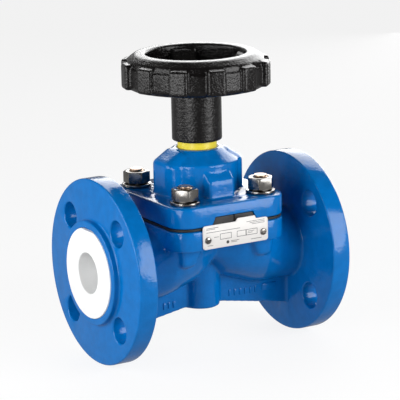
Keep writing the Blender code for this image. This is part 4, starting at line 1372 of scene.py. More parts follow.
    def lining(self) -> BMesh:
        """Make the hollow's shape thick, with a disc on each flange and a lip on top.

        Returns:
            The closed mesh.
        """
        lip_x, lip_y, lip_low = self.lip
        adds = [prism(oval_outline(lip_x, lip_y), lip_low, JOINT.body_top + 4 * MM)]
        cutters = [self.way.mesh(self.lining_depth, 64, self.lining_step),
                   block((-FAR, -FAR, JOINT.body_top), (FAR, FAR, FAR))]
        mouth = self.way.bore - self.lining_depth
        narrow, wide = mouth - self.mouth_slack, mouth + self.mouth_flare
        face, beyond = self.disc_face, self.disc_face + 8 * PAST
        disc = fillet_path([(0, self.disc_back, 0), (self.disc_radius, self.disc_back, 0),
                            (self.disc_radius, face, self.disc_edge), (wide, face, 0), (0, face, 0)])
        flare = [(0, self.mouth_start), (narrow, self.mouth_start), (narrow, face - self.disc_edge), (wide, face),
                 (wide, beyond), (0, beyond)]
        for side in (-1, 1):
            near, far = sorted((side * face, side * FAR))
            adds.append(to_side(turned(disc, 120, Axis.X), side))
            cutters += [to_side(turned(flare, 96, Axis.X), side), block((near, -FAR, -FAR), (far, FAR, FAR))]
        shape = self.way.mesh(self.lining_gap, 64, self.lining_step)
        return combined(combined(shape, adds, Operation.UNION), cutters, Operation.CUT)


@dataclass
class Bonnet(SubAssembly):
    """The bonnet casting, with the indicator's wiper ring in its top."""

    tower_radius: float = 32.5 * MM
    shoulder: float = 80 * MM
    top: float = 90 * MM
    top_radius: float = 19.5 * MM
    wing_x: tuple[float, float, float, float, float] = (35.2 * MM, 19 * MM, 80.5 * MM, 21 * MM, 11 * MM)
    wing_y: tuple[float, float, float, float, float] = (38 * MM, 12 * MM, 68 * MM, 17 * MM, 2.2 * MM)
    recess_inset: float = 5 * MM
    recess_top: float = 42.5 * MM
    cavity_radius: float = 21 * MM
    cavity_top: float = 60 * MM
    groove: tuple[float, float] = (23.6 * MM, 3 * MM)
    bush_hole: float = 12.3 * MM
    sleeve_bore: float = 16.3 * MM
    sleeve_bottom: float = 66 * MM
    seal_width: float = 0.9 * MM
    seal: tuple[float, float] = (87.5 * MM, 90.1 * MM)
    notch_foot: float = 24.5 * MM
    notch_head: float = 17.5 * MM
    notch_rise: float = 7.5 * MM
    notch_depth: float = 6 * MM
    lid_set_in: float = 0.6 * MM
    shoulder_round: float = 5 * MM
    lid_round: float = 2 * MM
    joint_edge: float = 2 * MM
    dome_recess: Point2 = (33 * MM, 29 * MM)
    dome_recess_depth: float = 6 * MM
    seal_gap: float = 0.3 * MM
    grain: float = 0.95 * MM

    def build(self) -> None:
        """Model the bonnet and its wiper."""
        self.piece("bonnet_casting", self.casting(), Body.VALVE, Finishes.PAINT, Slot.PAINT, ["bonnet"])
        low, high = self.seal
        inner, outer = self.sleeve_bore, self.sleeve_bore + self.seal_width
        lip = turned(fillet_path([(outer, low, 0.3 * MM), (inner + 0.4 * MM, low, 0), (inner, high - 1 * MM, 0),
                                  (inner, high, 0.2 * MM), (outer, high, 0.5 * MM)], closed=True), 96, closed=True)
        self.piece("sleeve_wiper", lip, Body.VALVE, Finishes.WIPER, Slot.RUBBER, ["indicator_seal"])

    def wing(self, sizes: tuple[float, float, float, float, float], root: float, axis: Axis) -> BMesh:
        """Make one wing through the tower.

        Args:
            sizes: Its reach, half its thickness, its shoulder's height, its reach at the top and its rounding.
            root: Where it starts.
            axis: The way it is thick.

        Returns:
            The closed mesh.
        """
        end, half, shoulder, top, rounding = sizes
        lid = self.top - self.lid_set_in
        outline = fillet_path([(-end, root, 0), (end, root, 0), (end, shoulder, self.shoulder_round),
                               (top, lid, self.lid_round), (-top, lid, self.lid_round),
                               (-end, shoulder, self.shoulder_round)], closed=True, segments=4)
        return prism(outline, -half, half, axis, edge=rounding, segments=5)

    def notch(self) -> BMesh:
        """Make the cutter of the notch in the joint flange, which shows the diaphragm's tab.

        Returns:
            The closed mesh.
        """
        low, high = JOINT.bonnet_bottom - self.notch_rise, JOINT.bonnet_bottom + self.notch_rise
        foot, head = self.notch_foot, self.notch_head
        return prism([(-foot, low), (foot, low), (head, high), (-head, high)],
                     -JOINT.half_y - self.notch_depth, -JOINT.half_y + self.notch_depth, Axis.Y)

    def hollows(self) -> list[BMesh]:
        """Make the cutters of the bonnet's cavity, bores, notch and stud holes.

        Returns:
            The cutters.
        """
        low = JOINT.bonnet_bottom
        reach, half = self.groove
        inset = self.recess_inset
        recess = rounded_outline(JOINT.half_x - inset, JOINT.half_y - inset, JOINT.corner - inset)
        seal_radius = self.sleeve_bore + self.seal_width + self.seal_gap
        cutters = [prism(recess, low - PAST, self.recess_top),
                   prism(oval_outline(*self.dome_recess), low, self.recess_top + self.dome_recess_depth),
                   drum(self.cavity_radius, low, self.cavity_top),
                   block((-reach, -half, low), (reach, half, self.cavity_top - PAST)),
                   drum(self.bush_hole, self.cavity_top - PAST, self.top),
                   drum(self.sleeve_bore, self.sleeve_bottom, self.top + PAST, steps=96),
                   drum(seal_radius, self.seal[0] - self.seal_gap, self.top + PAST, steps=96), self.notch()]
        return cutters + JOINT.holes(JOINT.stud_radius + JOINT.stud_clearance, low, JOINT.bonnet_top + PAST)

    def casting(self) -> BMesh:
        """Melt tower and wings into a soft skin, add the joint flange and cut the hollows.

        Returns:
            The closed mesh.
        """
        root = JOINT.bonnet_top - 6 * MM
        tower = turned([(0, self.top), (self.top_radius, self.top), (self.tower_radius, self.shoulder),
                        (self.tower_radius, root), (0, root)], 96)
        parts = [tower, self.wing(self.wing_x, root, Axis.Y), self.wing(self.wing_y, root, Axis.X),
                 JOINT.plate(JOINT.bonnet_bottom + 2 * MM, JOINT.bonnet_top - 0.3 * MM, 0, inset=1 * MM)]
        flange = JOINT.plate(JOINT.bonnet_bottom, JOINT.bonnet_top, edge=self.joint_edge)
        skin = combined(cast(parts, self.grain, passes=5), [flange], Operation.UNION)
        return combined(skin, self.hollows(), Operation.CUT)


@dataclass
class Diaphragm(SubAssembly):
    """The rubber diaphragm with its split tab, and the PTFE facing that seals."""

    bottom: float = 35.3 * MM
    shoulder: float = 37.2 * MM
    top: float = 42.2 * MM
    rim_inset: float = 0.8 * MM
    shoulder_inset: float = 5.3 * MM
    facing_half: tuple[float, float, float] = (35.5 * MM, 31.5 * MM, 22.8 * MM)
    facing_thickness: float = 1.5 * MM
    facing_rim: tuple[float, float] = (43.5 * MM, 39.5 * MM)
    gap: float = 0.3 * MM
    rubber_thickness: float = 4 * MM
    tab_foot: float = 20.4 * MM
    tab_head: float = 17.13 * MM
    tab_top: float = 44.2 * MM
    tab_front: float = -55.2 * MM
    tab_back: float = -50.3 * MM
    split: float = 0.8 * MM
    boss_radius: float = 8 * MM
    boss_height: float = 4 * MM
    anchor_head: float = 6.3 * MM
    anchor_neck: float = 3.8 * MM
    follow: Point2 = (35.2 * MM, 19 * MM)

    def build(self) -> None:
        """Model both layers, which in the valve stay with the joint at the rim and rise with the spindle in the
        middle; here they do not bend.
        """
        blend = (Vector((0, 0, self.follow[0])), Vector((0, 0, self.follow[1])))
        self.piece("diaphragm_rubber", self.rubber(), Body.LIFT, Finishes.RUBBER, Slot.RUBBER, ["diaphragm"],
                   blend=blend)
        self.piece("diaphragm_ptfe", self.facing(), Body.LIFT, Finishes.PTFE, Slot.PTFE, ["diaphragm_facing"],
                   blend=blend)

    def dome(self, shrink: float, above: float) -> BMesh:
        """Make the lower half of the facing's ellipsoid.

        Args:
            shrink: How much smaller it is all round.
            above: The level at which it is cut off.

        Returns:
            The closed mesh.
        """
        halves = [half - shrink for half in self.facing_half]
        lid = block((-FAR / 2, -FAR / 2, above), (FAR / 2, FAR / 2, FAR))
        return combined(ellipsoid((0, 0, self.bottom), halves, rings=40), [lid], Operation.CUT)

    def facing(self) -> BMesh:
        """Make the thin facing with its flat rim.

        Returns:
            The closed mesh.
        """
        top = self.bottom + self.facing_thickness
        rim = prism(oval_outline(*self.facing_rim), self.bottom, top)
        facing = combined(self.dome(0.0, top), [rim], Operation.UNION)
        return combined(facing, [self.dome(self.facing_thickness, top + PAST)], Operation.CUT)

    def tab(self, side: int) -> BMesh:
        """Make one half of the split tab.

        Args:
            side: -1 or +1.

        Returns:
            The closed mesh.
        """
        root = self.bottom + 1 * MM
        outline = fillet_path([(side * self.split / 2, root, 0), (side * self.tab_foot, root, 0),
                               (side * self.tab_head, self.tab_top, 1.6 * MM),
                               (side * self.split / 2, self.tab_top, 0.8 * MM)], closed=True, segments=4)
        return prism(outline, self.tab_front, self.tab_back, Axis.Y, edge=0.35 * MM, segments=2)

    def rubber(self) -> BMesh:
        """Make the rubber with its rim, shoulder, tab, boss and holes.

        Returns:
            The closed mesh.
        """
        facing_top = self.bottom + self.facing_thickness
        behind = self.facing_thickness + self.gap
        inside = [half - behind - self.rubber_thickness for half in self.facing_half]
        base = self.bottom - (self.facing_half[2] - behind)
        boss_top = self.bottom - inside[2] + self.boss_height
        adds = [JOINT.plate(facing_top - 0.5 * MM, self.top, 0, self.shoulder_inset),
                self.dome(behind, facing_top + PAST), self.tab(-1), self.tab(1)]
        rubber = combined(JOINT.plate(self.bottom, self.shoulder, 0.5 * MM, self.rim_inset), adds, Operation.UNION)
        hollow = ellipsoid((0, 0, self.bottom), inside, rings=36)
        rim = oval_outline(*(half + self.gap for half in self.facing_rim))
        bed = prism(rim, self.bottom - PAST, facing_top + self.gap)
        rubber = combined(rubber, [hollow, bed], Operation.CUT)
        boss = drum(self.boss_radius, base + 1 * MM, boss_top, edge=0.8 * MM)
        rubber = combined(rubber, [boss], Operation.UNION)
        cutters = [drum(self.anchor_head, base + 1.7 * MM, base + 4.8 * MM),
                   drum(self.anchor_neck, base + 4 * MM, boss_top + PAST)]
        cutters += JOINT.holes(JOINT.stud_radius + JOINT.stud_clearance, JOINT.body_top, self.top + PAST)
        return combined(rubber, cutters, Operation.CUT)


@dataclass
class JointFasteners(SubAssembly):
    """The four studs of the joint, with their washers and nuts."""

    washer: tuple[float, float] = (54.8 * MM, 57.3 * MM)
    washer_radius: float = 12 * MM
    nut: tuple[float, float] = (57.6 * MM, 67.6 * MM)
    across_flats: float = 19 * MM
    stud: tuple[float, float] = (13 * MM, 69.3 * MM)
    pitch: float = 1.75 * MM
    hole_clearance: float = 0.3 * MM
    turns: tuple[float, ...] = (17.0, -8.0, 41.0, 26.0)

    def build(self) -> None:
        """Model each set, with its nut turned its own way."""
        for i, ((x, y), turn) in enumerate(zip(JOINT.places(), self.turns), 1):
            place = Matrix.Translation((x, y, 0))
            spun = place @ Matrix.Rotation(math.radians(turn), 4, "Z")
            hole = JOINT.stud_radius + self.hole_clearance
            pieces = {"stud": threaded_rod(JOINT.stud_radius, *self.stud, self.pitch),
                      "washer": washer(self.washer_radius, hole, *self.washer),
                      "nut": hexagon_nut(self.across_flats, hole, *self.nut)}
            for kind, mesh in pieces.items():
                mesh.transform(spun if kind == "nut" else place)
                finish = Finishes.STUD if kind == "stud" else Finishes.ZINC
                self.piece(f"joint_{kind}_{i}", mesh, Body.VALVE, finish, Slot.ZINC, [f"bonnet_{kind}_{i}"])


def washer(outer: float, inner: float, low: float, high: float) -> BMesh:
    """Turn a washer with soft outer rims.

    Args:
        outer: Its outer radius.
        inner: Its inner radius.
        low: Its underside.
        high: Its top.

    Returns:
        The closed mesh.
    """
    edge = 0.25 * (high - low)
    return turned(fillet_path([(inner, low, 0), (outer, low, edge), (outer, high, edge), (inner, high, 0)],
                              closed=True, segments=3), 64, closed=True)


def hexagon_nut(across_flats: float, hole: float, low: float, high: float) -> BMesh:
    """Make a nut whose corners are turned off at both ends and whose hole is countersunk.

    Args:
        across_flats: Its width across flats.
        hole: The hole's radius.
        low: Its underside.
        high: Its top.

    Returns:
        The closed mesh.
    """
    corner = across_flats / math.sqrt(3)
    rim = across_flats / 2 * 0.97
    slope = (corner - rim) * math.tan(math.radians(30)) * 1.05
    outline = [(corner * math.cos(FULL_TURN * i / 6), corner * math.sin(FULL_TURN * i / 6)) for i in range(6)]
    past_corner = corner + 0.1 * MM
    blank = turned([(0, low), (rim, low), (past_corner, low + slope), (past_corner, high - slope), (rim, high),
                    (0, high)], 72)
    nut = combined(prism(outline, low - PAST, high + PAST), [blank], Operation.COMMON)
    sink = 0.8 * MM
    mouth = hole + sink + PAST
    bore = turned([(0, low - PAST), (mouth, low - PAST), (hole, low + sink), (hole, high - sink),
                   (mouth, high + PAST), (0, high + PAST)], 48)
    return ease_edges(combined(nut, [bore], Operation.CUT), 40, 0.18 * MM)


def threaded_rod(radius: float, low: float, high: float, pitch: float) -> BMesh:
    """Turn a rod with rounded thread rings along it and chamfered ends.

    Args:
        radius: Its outer radius.
        low: Its lower end.
        high: Its upper end.
        pitch: The rings' distance.

    Returns:
        The closed mesh.
    """
    depth = 0.5 * pitch
    chamfer = 0.9 * MM
    path = [(0, low), (radius - chamfer, low)]
    count = int((high - low - 2 * chamfer) / pitch)
    start = (high + low - count * pitch) / 2
    for i in range(count):
        z = start + i * pitch
        path += [(radius - depth, z), (radius - 0.12 * depth, z + 0.38 * pitch), (radius, z + 0.5 * pitch),
                 (radius - 0.12 * depth, z + 0.62 * pitch)]
    path += [(radius - depth, start + count * pitch), (radius - chamfer, high), (0, high)]
    return turned(path, 48)


@dataclass
class LiftingGear(SubAssembly):
    """The parts between the spindle and the diaphragm."""

    packed: dict[str, Finish] = field(default_factory=lambda: {
        "compressor": Finishes.IRON, "compressor_pin": Finishes.STEEL, "diaphragm_stud": Finishes.STEEL,
        "thrust_washer": Finishes.BRASS, "spindle_nut": Finishes.BRASS, "wheel_key": Finishes.STEEL})

    def build(self) -> None:
        """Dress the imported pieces, which no outside view shows."""
        for name, finish in self.packed.items():
            node = bpy.data.objects[name]
            node.data.materials.clear()
            node.data.materials.append(finish.material())
            log.info("%s: packed shape, %s", name, finish.name)


@dataclass
class Spindle(SubAssembly):
    """The spindle, from the collar in the compressor to the thread under the cap."""

    collar: tuple[float, float] = (32.3 * MM, 37.9 * MM)
    collar_radius: float = 11 * MM
    radius: float = 8 * MM
    thread: tuple[float, float] = (46 * MM, 100 * MM)
    pitch: float = 4 * MM
    shoulder: float = 111.7 * MM
    seat_radius: float = 7 * MM
    seat_top: float = 147 * MM
    end_radius: float = 6 * MM
    top: float = 153.8 * MM
    keyway: tuple[float, float, float, float] = (4.2 * MM, 2.8 * MM, 116.7 * MM, 142.3 * MM)
    thread_depth: float = 1.3 * MM
    collar_chamfer: float = 0.4 * MM
    end_chamfer: float = 1 * MM

    def build(self) -> None:
        """Model the spindle in one piece."""
        bottom, top = self.collar
        edge, radius = self.collar_chamfer, self.radius
        path = [(0, bottom), (self.collar_radius - edge, bottom), (self.collar_radius, bottom + edge),
                (self.collar_radius, top - edge), (self.collar_radius - edge, top), (radius, top)]
        low, high = self.thread
        deep = radius - self.thread_depth
        for i in range(int((high - low) / self.pitch)):
            z = low + i * self.pitch
            path += [(radius, z), (deep, z + 0.30 * self.pitch), (deep, z + 0.55 * self.pitch),
                     (radius, z + 0.85 * self.pitch)]
        path += [(radius, self.shoulder), (self.seat_radius, self.shoulder), (self.seat_radius, self.seat_top),
                 (self.end_radius, self.seat_top), (self.end_radius, self.top - self.end_chamfer),
                 (self.end_radius - self.end_chamfer, self.top), (0, self.top)]
        floor, half, low, high = self.keyway
        cutter = block((floor, -half, low), (self.collar_radius + PAST, half, high))
        self.piece("spindle_turned", combined(turned(path, 64), [cutter], Operation.CUT), Body.WHEEL,
                   Finishes.STEEL, Slot.STEEL, ["spindle"])


@dataclass
class HandWheel(SubAssembly):
    """The wheel with its grips, the yellow sleeve under it, and the cap, nut and washer on its hub."""

    hub_radius: float = 20.2 * MM
    hub: tuple[float, float] = (96 * MM, 147 * MM)
    rim: tuple[float, float] = (139 * MM, 167 * MM)
    rim_radius: float = 56.3 * MM
    rim_inner: float = 40 * MM
    grips: int = 12
    grip_first: float = 15.9
    grip_radius: float = 60 * MM
    grip_width: float = 15 * MM
    grip: tuple[float, float] = (140.5 * MM, 161 * MM)
    spokes: int = 4
    spoke_first: float = 75.9
    spoke_width: float = 21 * MM
    spoke_thickness: float = 9 * MM
    sleeve_radius: float = 15.9 * MM
    sleeve_inner: float = 12.9 * MM
    sleeve: tuple[float, float] = (74 * MM, 104 * MM)
    cap_radius: float = 15 * MM
    cap: tuple[float, float] = (147.3 * MM, 156.3 * MM)
    cap_wall: float = 1.5 * MM
    spindle_seat: Point2 = (7.3 * MM, 111 * MM)
    thread_bore: float = 8.3 * MM
    keyway: Point2 = (9.8 * MM, 2.8 * MM)
    end_bore: float = 6.3 * MM
    washer: tuple[float, float, float] = (11 * MM, 147.3 * MM, 149 * MM)
    nut: tuple[float, float, float] = (18 * MM, 149.3 * MM, 153.8 * MM)
    grain: float = 0.75 * MM

    def build(self) -> None:
        """Model the wheel and what turns with it."""
        self.piece("wheel_moulded", self.wheel(), Body.WHEEL, Finishes.WHEEL, Slot.WHEEL, ["handwheel"])
        for name, mesh, finish, slot, packed in (
                ("sleeve_yellow", self.sleeve_tube(), Finishes.YELLOW, Slot.YELLOW, "position_indicator"),
                ("hub_cover", self.cover(), Finishes.WHEEL, Slot.WHEEL, "hub_cap"),
                ("wheel_washer", washer(self.washer[0], self.end_bore, *self.washer[1:]), Finishes.ZINC, Slot.ZINC,
                 "hub_washer"),
                ("wheel_nut", hexagon_nut(self.nut[0], self.end_bore, *self.nut[1:]), Finishes.ZINC, Slot.ZINC,
                 "hub_nut")):
            self.piece(name, mesh, Body.WHEEL, finish, slot, [packed])

    def sleeve_tube(self) -> BMesh:
        """Turn the yellow sleeve.

        Returns:
            The closed mesh.
        """
        low, high = self.sleeve
        return turned(fillet_path([(self.sleeve_inner, low, 0.3 * MM), (self.sleeve_radius, low, 0.8 * MM),
                                   (self.sleeve_radius, high, 0.3 * MM), (self.sleeve_inner, high, 0.3 * MM)],
                                  closed=True), 96, closed=True)

    def cover(self) -> BMesh:
        """Turn the cap over the hub's nut.

        Returns:
            The closed mesh.
        """
        low, high = self.cap
        outer, inner = self.cap_radius, self.cap_radius - self.cap_wall
        under = high - self.cap_wall
        return turned(fillet_path([(0, high, 0), (inner, high, 0.4 * MM), (outer, under, 0.8 * MM),
                                   (outer, low, 0.3 * MM), (inner, low, 0.3 * MM), (inner, under, 0.4 * MM),
                                   (0, under, 0)]), 96)

    def rim_ring(self) -> BMesh:
        """Turn the rim, with a low step between its wall and its crown.

        Returns:
            The closed mesh.
        """
        low, high = self.rim
        step = high - 10 * MM
        outer = self.rim_radius
        corners = [(self.rim_inner, low, 4 * MM), (outer, low, 5 * MM), (outer, step, 0.8 * MM),
                   (outer - 0.9 * MM, step + 0.9 * MM, 0.8 * MM), (outer - 1.8 * MM, high - 4.5 * MM, 3 * MM),
                   (outer - 8 * MM, high, 6 * MM), (self.rim_inner, high, 2.6 * MM)]
        return turned(fillet_path(corners, closed=True, segments=8), 192, closed=True)

    def hub_post(self) -> BMesh:
        """Return the hub."""
        low, high = self.hub
        return turned(fillet_path([(0, low, 0), (self.hub_radius, low, 0.9 * MM),
                                   (self.hub_radius, high, 1.2 * MM), (0, high, 0)]), 144)

    def grip_block(self, index: int) -> BMesh:
        """Make one grip at its place round the rim.

        Args:
            index: Which grip it is.

        Returns:
            The closed mesh.
        """
        low, high = self.grip
        half = self.grip_width / 2
        grip = block((self.rim_radius - 7 * MM, -half, low), (self.grip_radius, half, high), 2.2 * MM, 4)
        grip.transform(Matrix.Rotation(math.radians(self.grip_first + 360 / self.grips * index), 4, "Z"))
        return grip

    def spoke(self, index: int) -> BMesh:
        """Make one dished spoke.

        Args:
            index: Which spoke it is.

        Returns:
            The closed mesh.
        """
        inner, outer = self.hub_radius - 4 * MM, self.rim_inner + 5 * MM
        high, low = self.rim[1] - 4 * MM, self.hub[1] - 0.5 * MM
        thick = self.spoke_thickness
        path = fillet_path([(inner, low - thick, 0), (self.hub_radius + 3 * MM, low - 0.6 * thick, 8 * MM),
                            (outer, high - 1.6 * thick, 0), (outer, high, 0),
                            (self.rim_inner - 2 * MM, high, 4 * MM), (self.hub_radius + 1 * MM, low, 6 * MM),
                            (inner, low, 0)], closed=True, segments=6)
        half = self.spoke_width / 2
        spoke = prism(path, -half, half, Axis.Y, edge=1.8 * MM, segments=3)
        spoke.transform(Matrix.Rotation(math.radians(self.spoke_first + 360 / self.spokes * index), 4, "Z"))
        return spoke

    def solids(self) -> list[BMesh]:
        """Return the wheel's overlapping solids."""
        return ([self.rim_ring(), self.hub_post()] + [self.grip_block(i) for i in range(self.grips)]
                + [self.spoke(i) for i in range(self.spokes)])

    def wheel(self) -> BMesh:
        """Melt rim, hub, grips and spokes into one skin and cut the hub's bores.

        Returns:
            The closed mesh.
        """
        seat_radius, seat = self.spindle_seat
        key_reach, key_half = self.keyway
        start, top = self.hub[0] - PAST, self.hub[1] + PAST
        cutters = [drum(self.sleeve_radius + 0.3 * MM, start, self.sleeve[1] + 0.3 * MM, steps=96),
                   drum(self.thread_bore, self.sleeve[1], seat + PAST), drum(seat_radius, seat, top),
                   block((0, -key_half, seat + PAST), (key_reach, key_half, top))]
        return combined(cast(self.solids(), self.grain, passes=3), cutters, Operation.CUT)


@dataclass
class Nameplate(SubAssembly):
    """The plate on the joint flange, its ruled print and its two drive screws."""

    half: float = 30 * MM
    low: float = 20 * MM
    high: float = 39 * MM
    lug: tuple[float, float] = (19 * MM, 41.5 * MM)
    front: float = -57.3 * MM
    back: float = -56.3 * MM
    corner: float = 2.2 * MM
    lug_corner: float = 0.8 * MM
    dot_radius: float = 1.3 * MM
    dot_place: Point2 = (-7.5 * MM, 23.6 * MM)
    dot_depth: float = 0.03 * MM
    sunk: float = 0.02 * MM
    shank_radius: float = 1.25 * MM
    head_radius: float = 2.9 * MM
    print_depth: float = 0.04 * MM
    pen: float = 0.38 * MM
    boxes: tuple[tuple[float, float, float, float], ...] = (
        (-14.5 * MM, 26.4 * MM, -4 * MM, 31.2 * MM), (1 * MM, 26.4 * MM, 9.5 * MM, 31.2 * MM),
        (9.5 * MM, 26.4 * MM, 20 * MM, 31.2 * MM))
    lines: tuple[tuple[float, float, float], ...] = (
        (-27 * MM, -16 * MM, 36.6 * MM), (-27 * MM, -19 * MM, 35.6 * MM), (10 * MM, 27 * MM, 37.2 * MM),
        (13 * MM, 27 * MM, 36 * MM), (15 * MM, 27 * MM, 34.8 * MM), (-27 * MM, 4 * MM, 33.2 * MM),
        (-20 * MM, -15.5 * MM, 28.8 * MM), (11 * MM, 17 * MM, 29.4 * MM), (11 * MM, 15.5 * MM, 28.2 * MM),
        (-4.5 * MM, 3 * MM, 23.9 * MM), (-4.5 * MM, 1 * MM, 22.9 * MM), (-26 * MM, -21 * MM, 22.6 * MM),
        (14 * MM, 24 * MM, 22.6 * MM))

    def build(self) -> None:
        """Model the plate, what is printed on it and its screws."""
        self.piece("nameplate_blank", self.plate(), Body.VALVE, Finishes.ENAMEL, Slot.PLATE, ["nameplate"])
        self.piece("nameplate_rules", self.rules(), Body.VALVE, Finishes.PRINT, Slot.PLATE)
        self.piece("nameplate_dot", self.dot(), Body.VALVE, Finishes.DOT, Slot.RUBBER)
        for side, label in ((-1, "left"), (1, "right")):
            self.piece(f"drive_screw_{label}", self.screw(side), Body.VALVE, Finishes.ZINC, Slot.ZINC,
                       [f"nameplate_rivet_{label}"])

    def plate(self) -> BMesh:
        """Make the plate with its lug and two holes.

        Returns:
            The closed mesh.
        """
        lug_x, lug_z = self.lug
        wide, small = self.corner, self.lug_corner
        outline = fillet_path([(-self.half, self.low, wide), (self.half, self.low, wide),
                               (self.half, self.high, wide), (lug_x, self.high, small),
                               (lug_x - 1 * MM, lug_z, small), (2 * MM, lug_z, small),
                               (0, self.high, small), (-self.half, self.high, wide)], closed=True, segments=5)
        plate = prism(outline, self.front, self.back, Axis.Y, edge=0.2 * MM, segments=2)
        holes = [SCREWS.hole(side, self.front - PAST, self.back + PAST) for side in (-1, 1)]
        return combined(plate, holes, Operation.CUT)

    def rules(self) -> BMesh:
        """Make the ruled boxes and lines of the print, as thin strips that stand on the enamel.

        Returns:
            The strips in one mesh.
        """
        face, pen = self.front + self.sunk, self.pen
        strips = []
        for x0, z0, x1, z1 in self.boxes:
            strips += [(x0, z0, x1, z0 + pen), (x0, z1 - pen, x1, z1), (x0, z0, x0 + pen, z1),
                       (x1 - pen, z0, x1, z1)]
        strips += [(x0, z, x1, z + pen) for x0, x1, z in self.lines]
        return joined(block((x0, face - self.print_depth, z0), (x1, face, z1)) for x0, z0, x1, z1 in strips)

    def dot(self) -> BMesh:
        """Return the one solid dot of the print."""
        x, z = self.dot_place
        return drum(self.dot_radius, self.front - self.dot_depth, self.front + self.sunk, Axis.Y, (x, 0, z),
                    steps=32)

    def screw(self, side: int) -> BMesh:
        """Make one round-headed drive screw with its slot.

        Args:
            side: -1 or +1.

        Returns:
            The closed mesh.
        """
        seat, tip = self.front - 0.3 * MM, self.front + 5 * MM
        shank, head = self.shank_radius, self.head_radius
        dome = turned(fillet_path([(0, tip, 0), (shank, tip, 0.2 * MM), (shank, seat, 0), (head, seat, 0.15 * MM),
                                   (head * 0.86, seat - 0.75 * MM, 0.5 * MM), (head * 0.35, seat - 1 * MM, 1 * MM),
                                   (0, seat - 1 * MM, 0)]), 48, Axis.Y)
        slot = block((-head * 1.2, seat - 2 * MM, -0.45 * MM), (head * 1.2, seat - 0.35 * MM, 0.45 * MM))
        slot.transform(Matrix.Rotation(math.radians(25 * side), 4, "Y"))
        screw = combined(dome, [slot], Operation.CUT)
        screw.transform(Matrix.Translation((side * SCREWS.x, 0, SCREWS.z)))
        return screw


# ---------------------------------------------------------------- studio


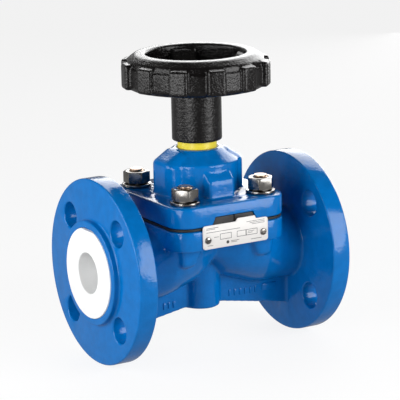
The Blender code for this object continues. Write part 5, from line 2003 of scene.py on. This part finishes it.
@dataclass
class Studio:
    """The plain pale floor, the soft lights and the camera."""

    floor_level: float = -75.2 * MM
    focal: float = 195.4
    camera_place: tuple[float, float, float] = (-0.865, -1.474, 0.454)
    yaw: float = 30.45
    pitch: float = 13.45
    roll: float = -1.21
    floor_half: float = 6.0
    floor_reach: Point2 = (-4.0, 5.0)
    floor_rise: float = 5.0
    floor_bend: float = 1.2
    sensor: float = 36.0
    far_clip: float = 100.0
    surround: float = 0.06
    floor_tone: float = 0.14
    floor_glow: float = 0.86
    floor_spill: float = 0.30
    sheen_only: str = "back_box"
    boxes: dict[str, tuple[float, float, float, float, float, float]] = field(default_factory=lambda: {
        "right_box": (60.0, 0.75, -0.04, 0.52, 0.50, 6.2),
        "left_box": (-34.0, 0.60, -0.03, 0.36, 0.30, 6.0),
        "side_box": (-78.0, 0.90, -0.04, 0.60, 0.50, 4.2),
        "back_box": (165.0, 1.60, 0.26, 2.40, 2.40, 4.2)})

    def build(self) -> None:
        """Set up the stage, the light and the view."""
        self.stage()
        self.lights()
        self.camera()
        settings = bpy.context.scene.view_settings
        settings.view_transform = "Standard"
        settings.look = "None"

    def stage(self) -> None:
        """Lay a floor that curves up into a backdrop."""
        mesh = bmesh.new()
        near, far = self.floor_reach
        path = fillet_path([(near, self.floor_level, 0), (far, self.floor_level, self.floor_bend),
                            (far, self.floor_rise, 0)], segments=16)
        verts = [mesh.verts.new((-self.floor_half, y, z)) for y, z in path]
        edges = [mesh.edges.new(pair) for pair in zip(verts, verts[1:])]
        pushed = bmesh.ops.extrude_edge_only(mesh, edges=edges)
        moved = [item for item in pushed["geom"] if isinstance(item, bmesh.types.BMVert)]
        bmesh.ops.translate(mesh, verts=moved, vec=(2 * self.floor_half, 0, 0))
        mesh.transform(Matrix.Rotation(math.radians(-self.yaw), 4, "Z"))
        data = bpy.data.meshes.new("floor")
        mesh.to_mesh(data)
        mesh.free()
        for face in data.polygons:
            face.use_smooth = True
        material = bpy.data.materials.new("pale_floor")
        material.use_nodes = True
        shader = material.node_tree.nodes["Principled BSDF"]
        shader.inputs["Base Color"].default_value = (*3 * (self.floor_tone,), 1.0)
        shader.inputs["Roughness"].default_value = 0.9
        shader.inputs["Emission Color"].default_value = (1.0, 1.0, 1.0, 1.0)
        shader.inputs["Specular IOR Level"].default_value = 0.1
        nodes = Nodes(material.node_tree)
        seen = nodes.add("LightPath").outputs["Is Camera Ray"]
        extra = nodes.math("MULTIPLY", seen, self.floor_glow - self.floor_spill)
        glow = nodes.math("ADD", extra, self.floor_spill)
        nodes.link(glow, shader.inputs["Emission Strength"])
        data.materials.append(material)
        floor = bpy.data.objects.new("floor", data)
        bpy.context.scene.collection.objects.link(floor)

    def lights(self) -> None:
        """Light the valve: three soft boxes in front, one behind that only gives sheen, and a dim surround."""
        world = bpy.data.worlds.new("studio")
        bpy.context.scene.world = world
        world.use_nodes = True
        world.node_tree.nodes["Background"].inputs["Color"].default_value = (1.0, 1.0, 1.0, 1.0)
        world.node_tree.nodes["Background"].inputs["Strength"].default_value = self.surround
        for name, (turn, distance, low, high, wide, radiance) in self.boxes.items():
            light = bpy.data.lights.new(name, "AREA")
            light.shape = "RECTANGLE"
            light.size, light.size_y = wide, high - low
            light.energy = radiance * math.pi * wide * (high - low)
            angle = math.radians(-90 - self.yaw + turn)
            out = Vector((math.cos(angle), math.sin(angle), 0))
            obj = bpy.data.objects.new(name, light)
            obj.location = out * distance + Vector((0, 0, (low + high) / 2))
            obj.rotation_euler = (-out).to_track_quat("-Z", "Z").to_euler()
            obj.visible_camera = False
            obj.visible_diffuse = name != self.sheen_only
            bpy.context.scene.collection.objects.link(obj)

    def camera(self) -> None:
        """Stand the camera at its three-quarter view."""
        data = bpy.data.cameras.new("camera")
        data.lens, data.sensor_width, data.clip_end = self.focal, self.sensor, self.far_clip
        camera = bpy.data.objects.new("camera", data)
        turn = (Matrix.Rotation(math.radians(-self.yaw), 4, "Z")
                @ Matrix.Rotation(math.radians(90 - self.pitch), 4, "X")
                @ Matrix.Rotation(math.radians(self.roll), 4, "Z"))
        camera.matrix_world = Matrix.Translation(self.camera_place) @ turn
        bpy.context.scene.collection.objects.link(camera)
        bpy.context.scene.camera = camera


def main() -> None:
    """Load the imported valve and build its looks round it."""
    logging.basicConfig(level=logging.INFO, format="%(message)s", stream=sys.stdout, force=True)
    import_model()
    Studio().build()
    for assembly in (BodyCasting(), Bonnet(), Diaphragm(), JointFasteners(), LiftingGear(), Spindle(), HandWheel(),
                     Nameplate()):
        log.info("building %s", type(assembly).__name__)
        assembly.build()


if __name__ == "__main__":
    main()
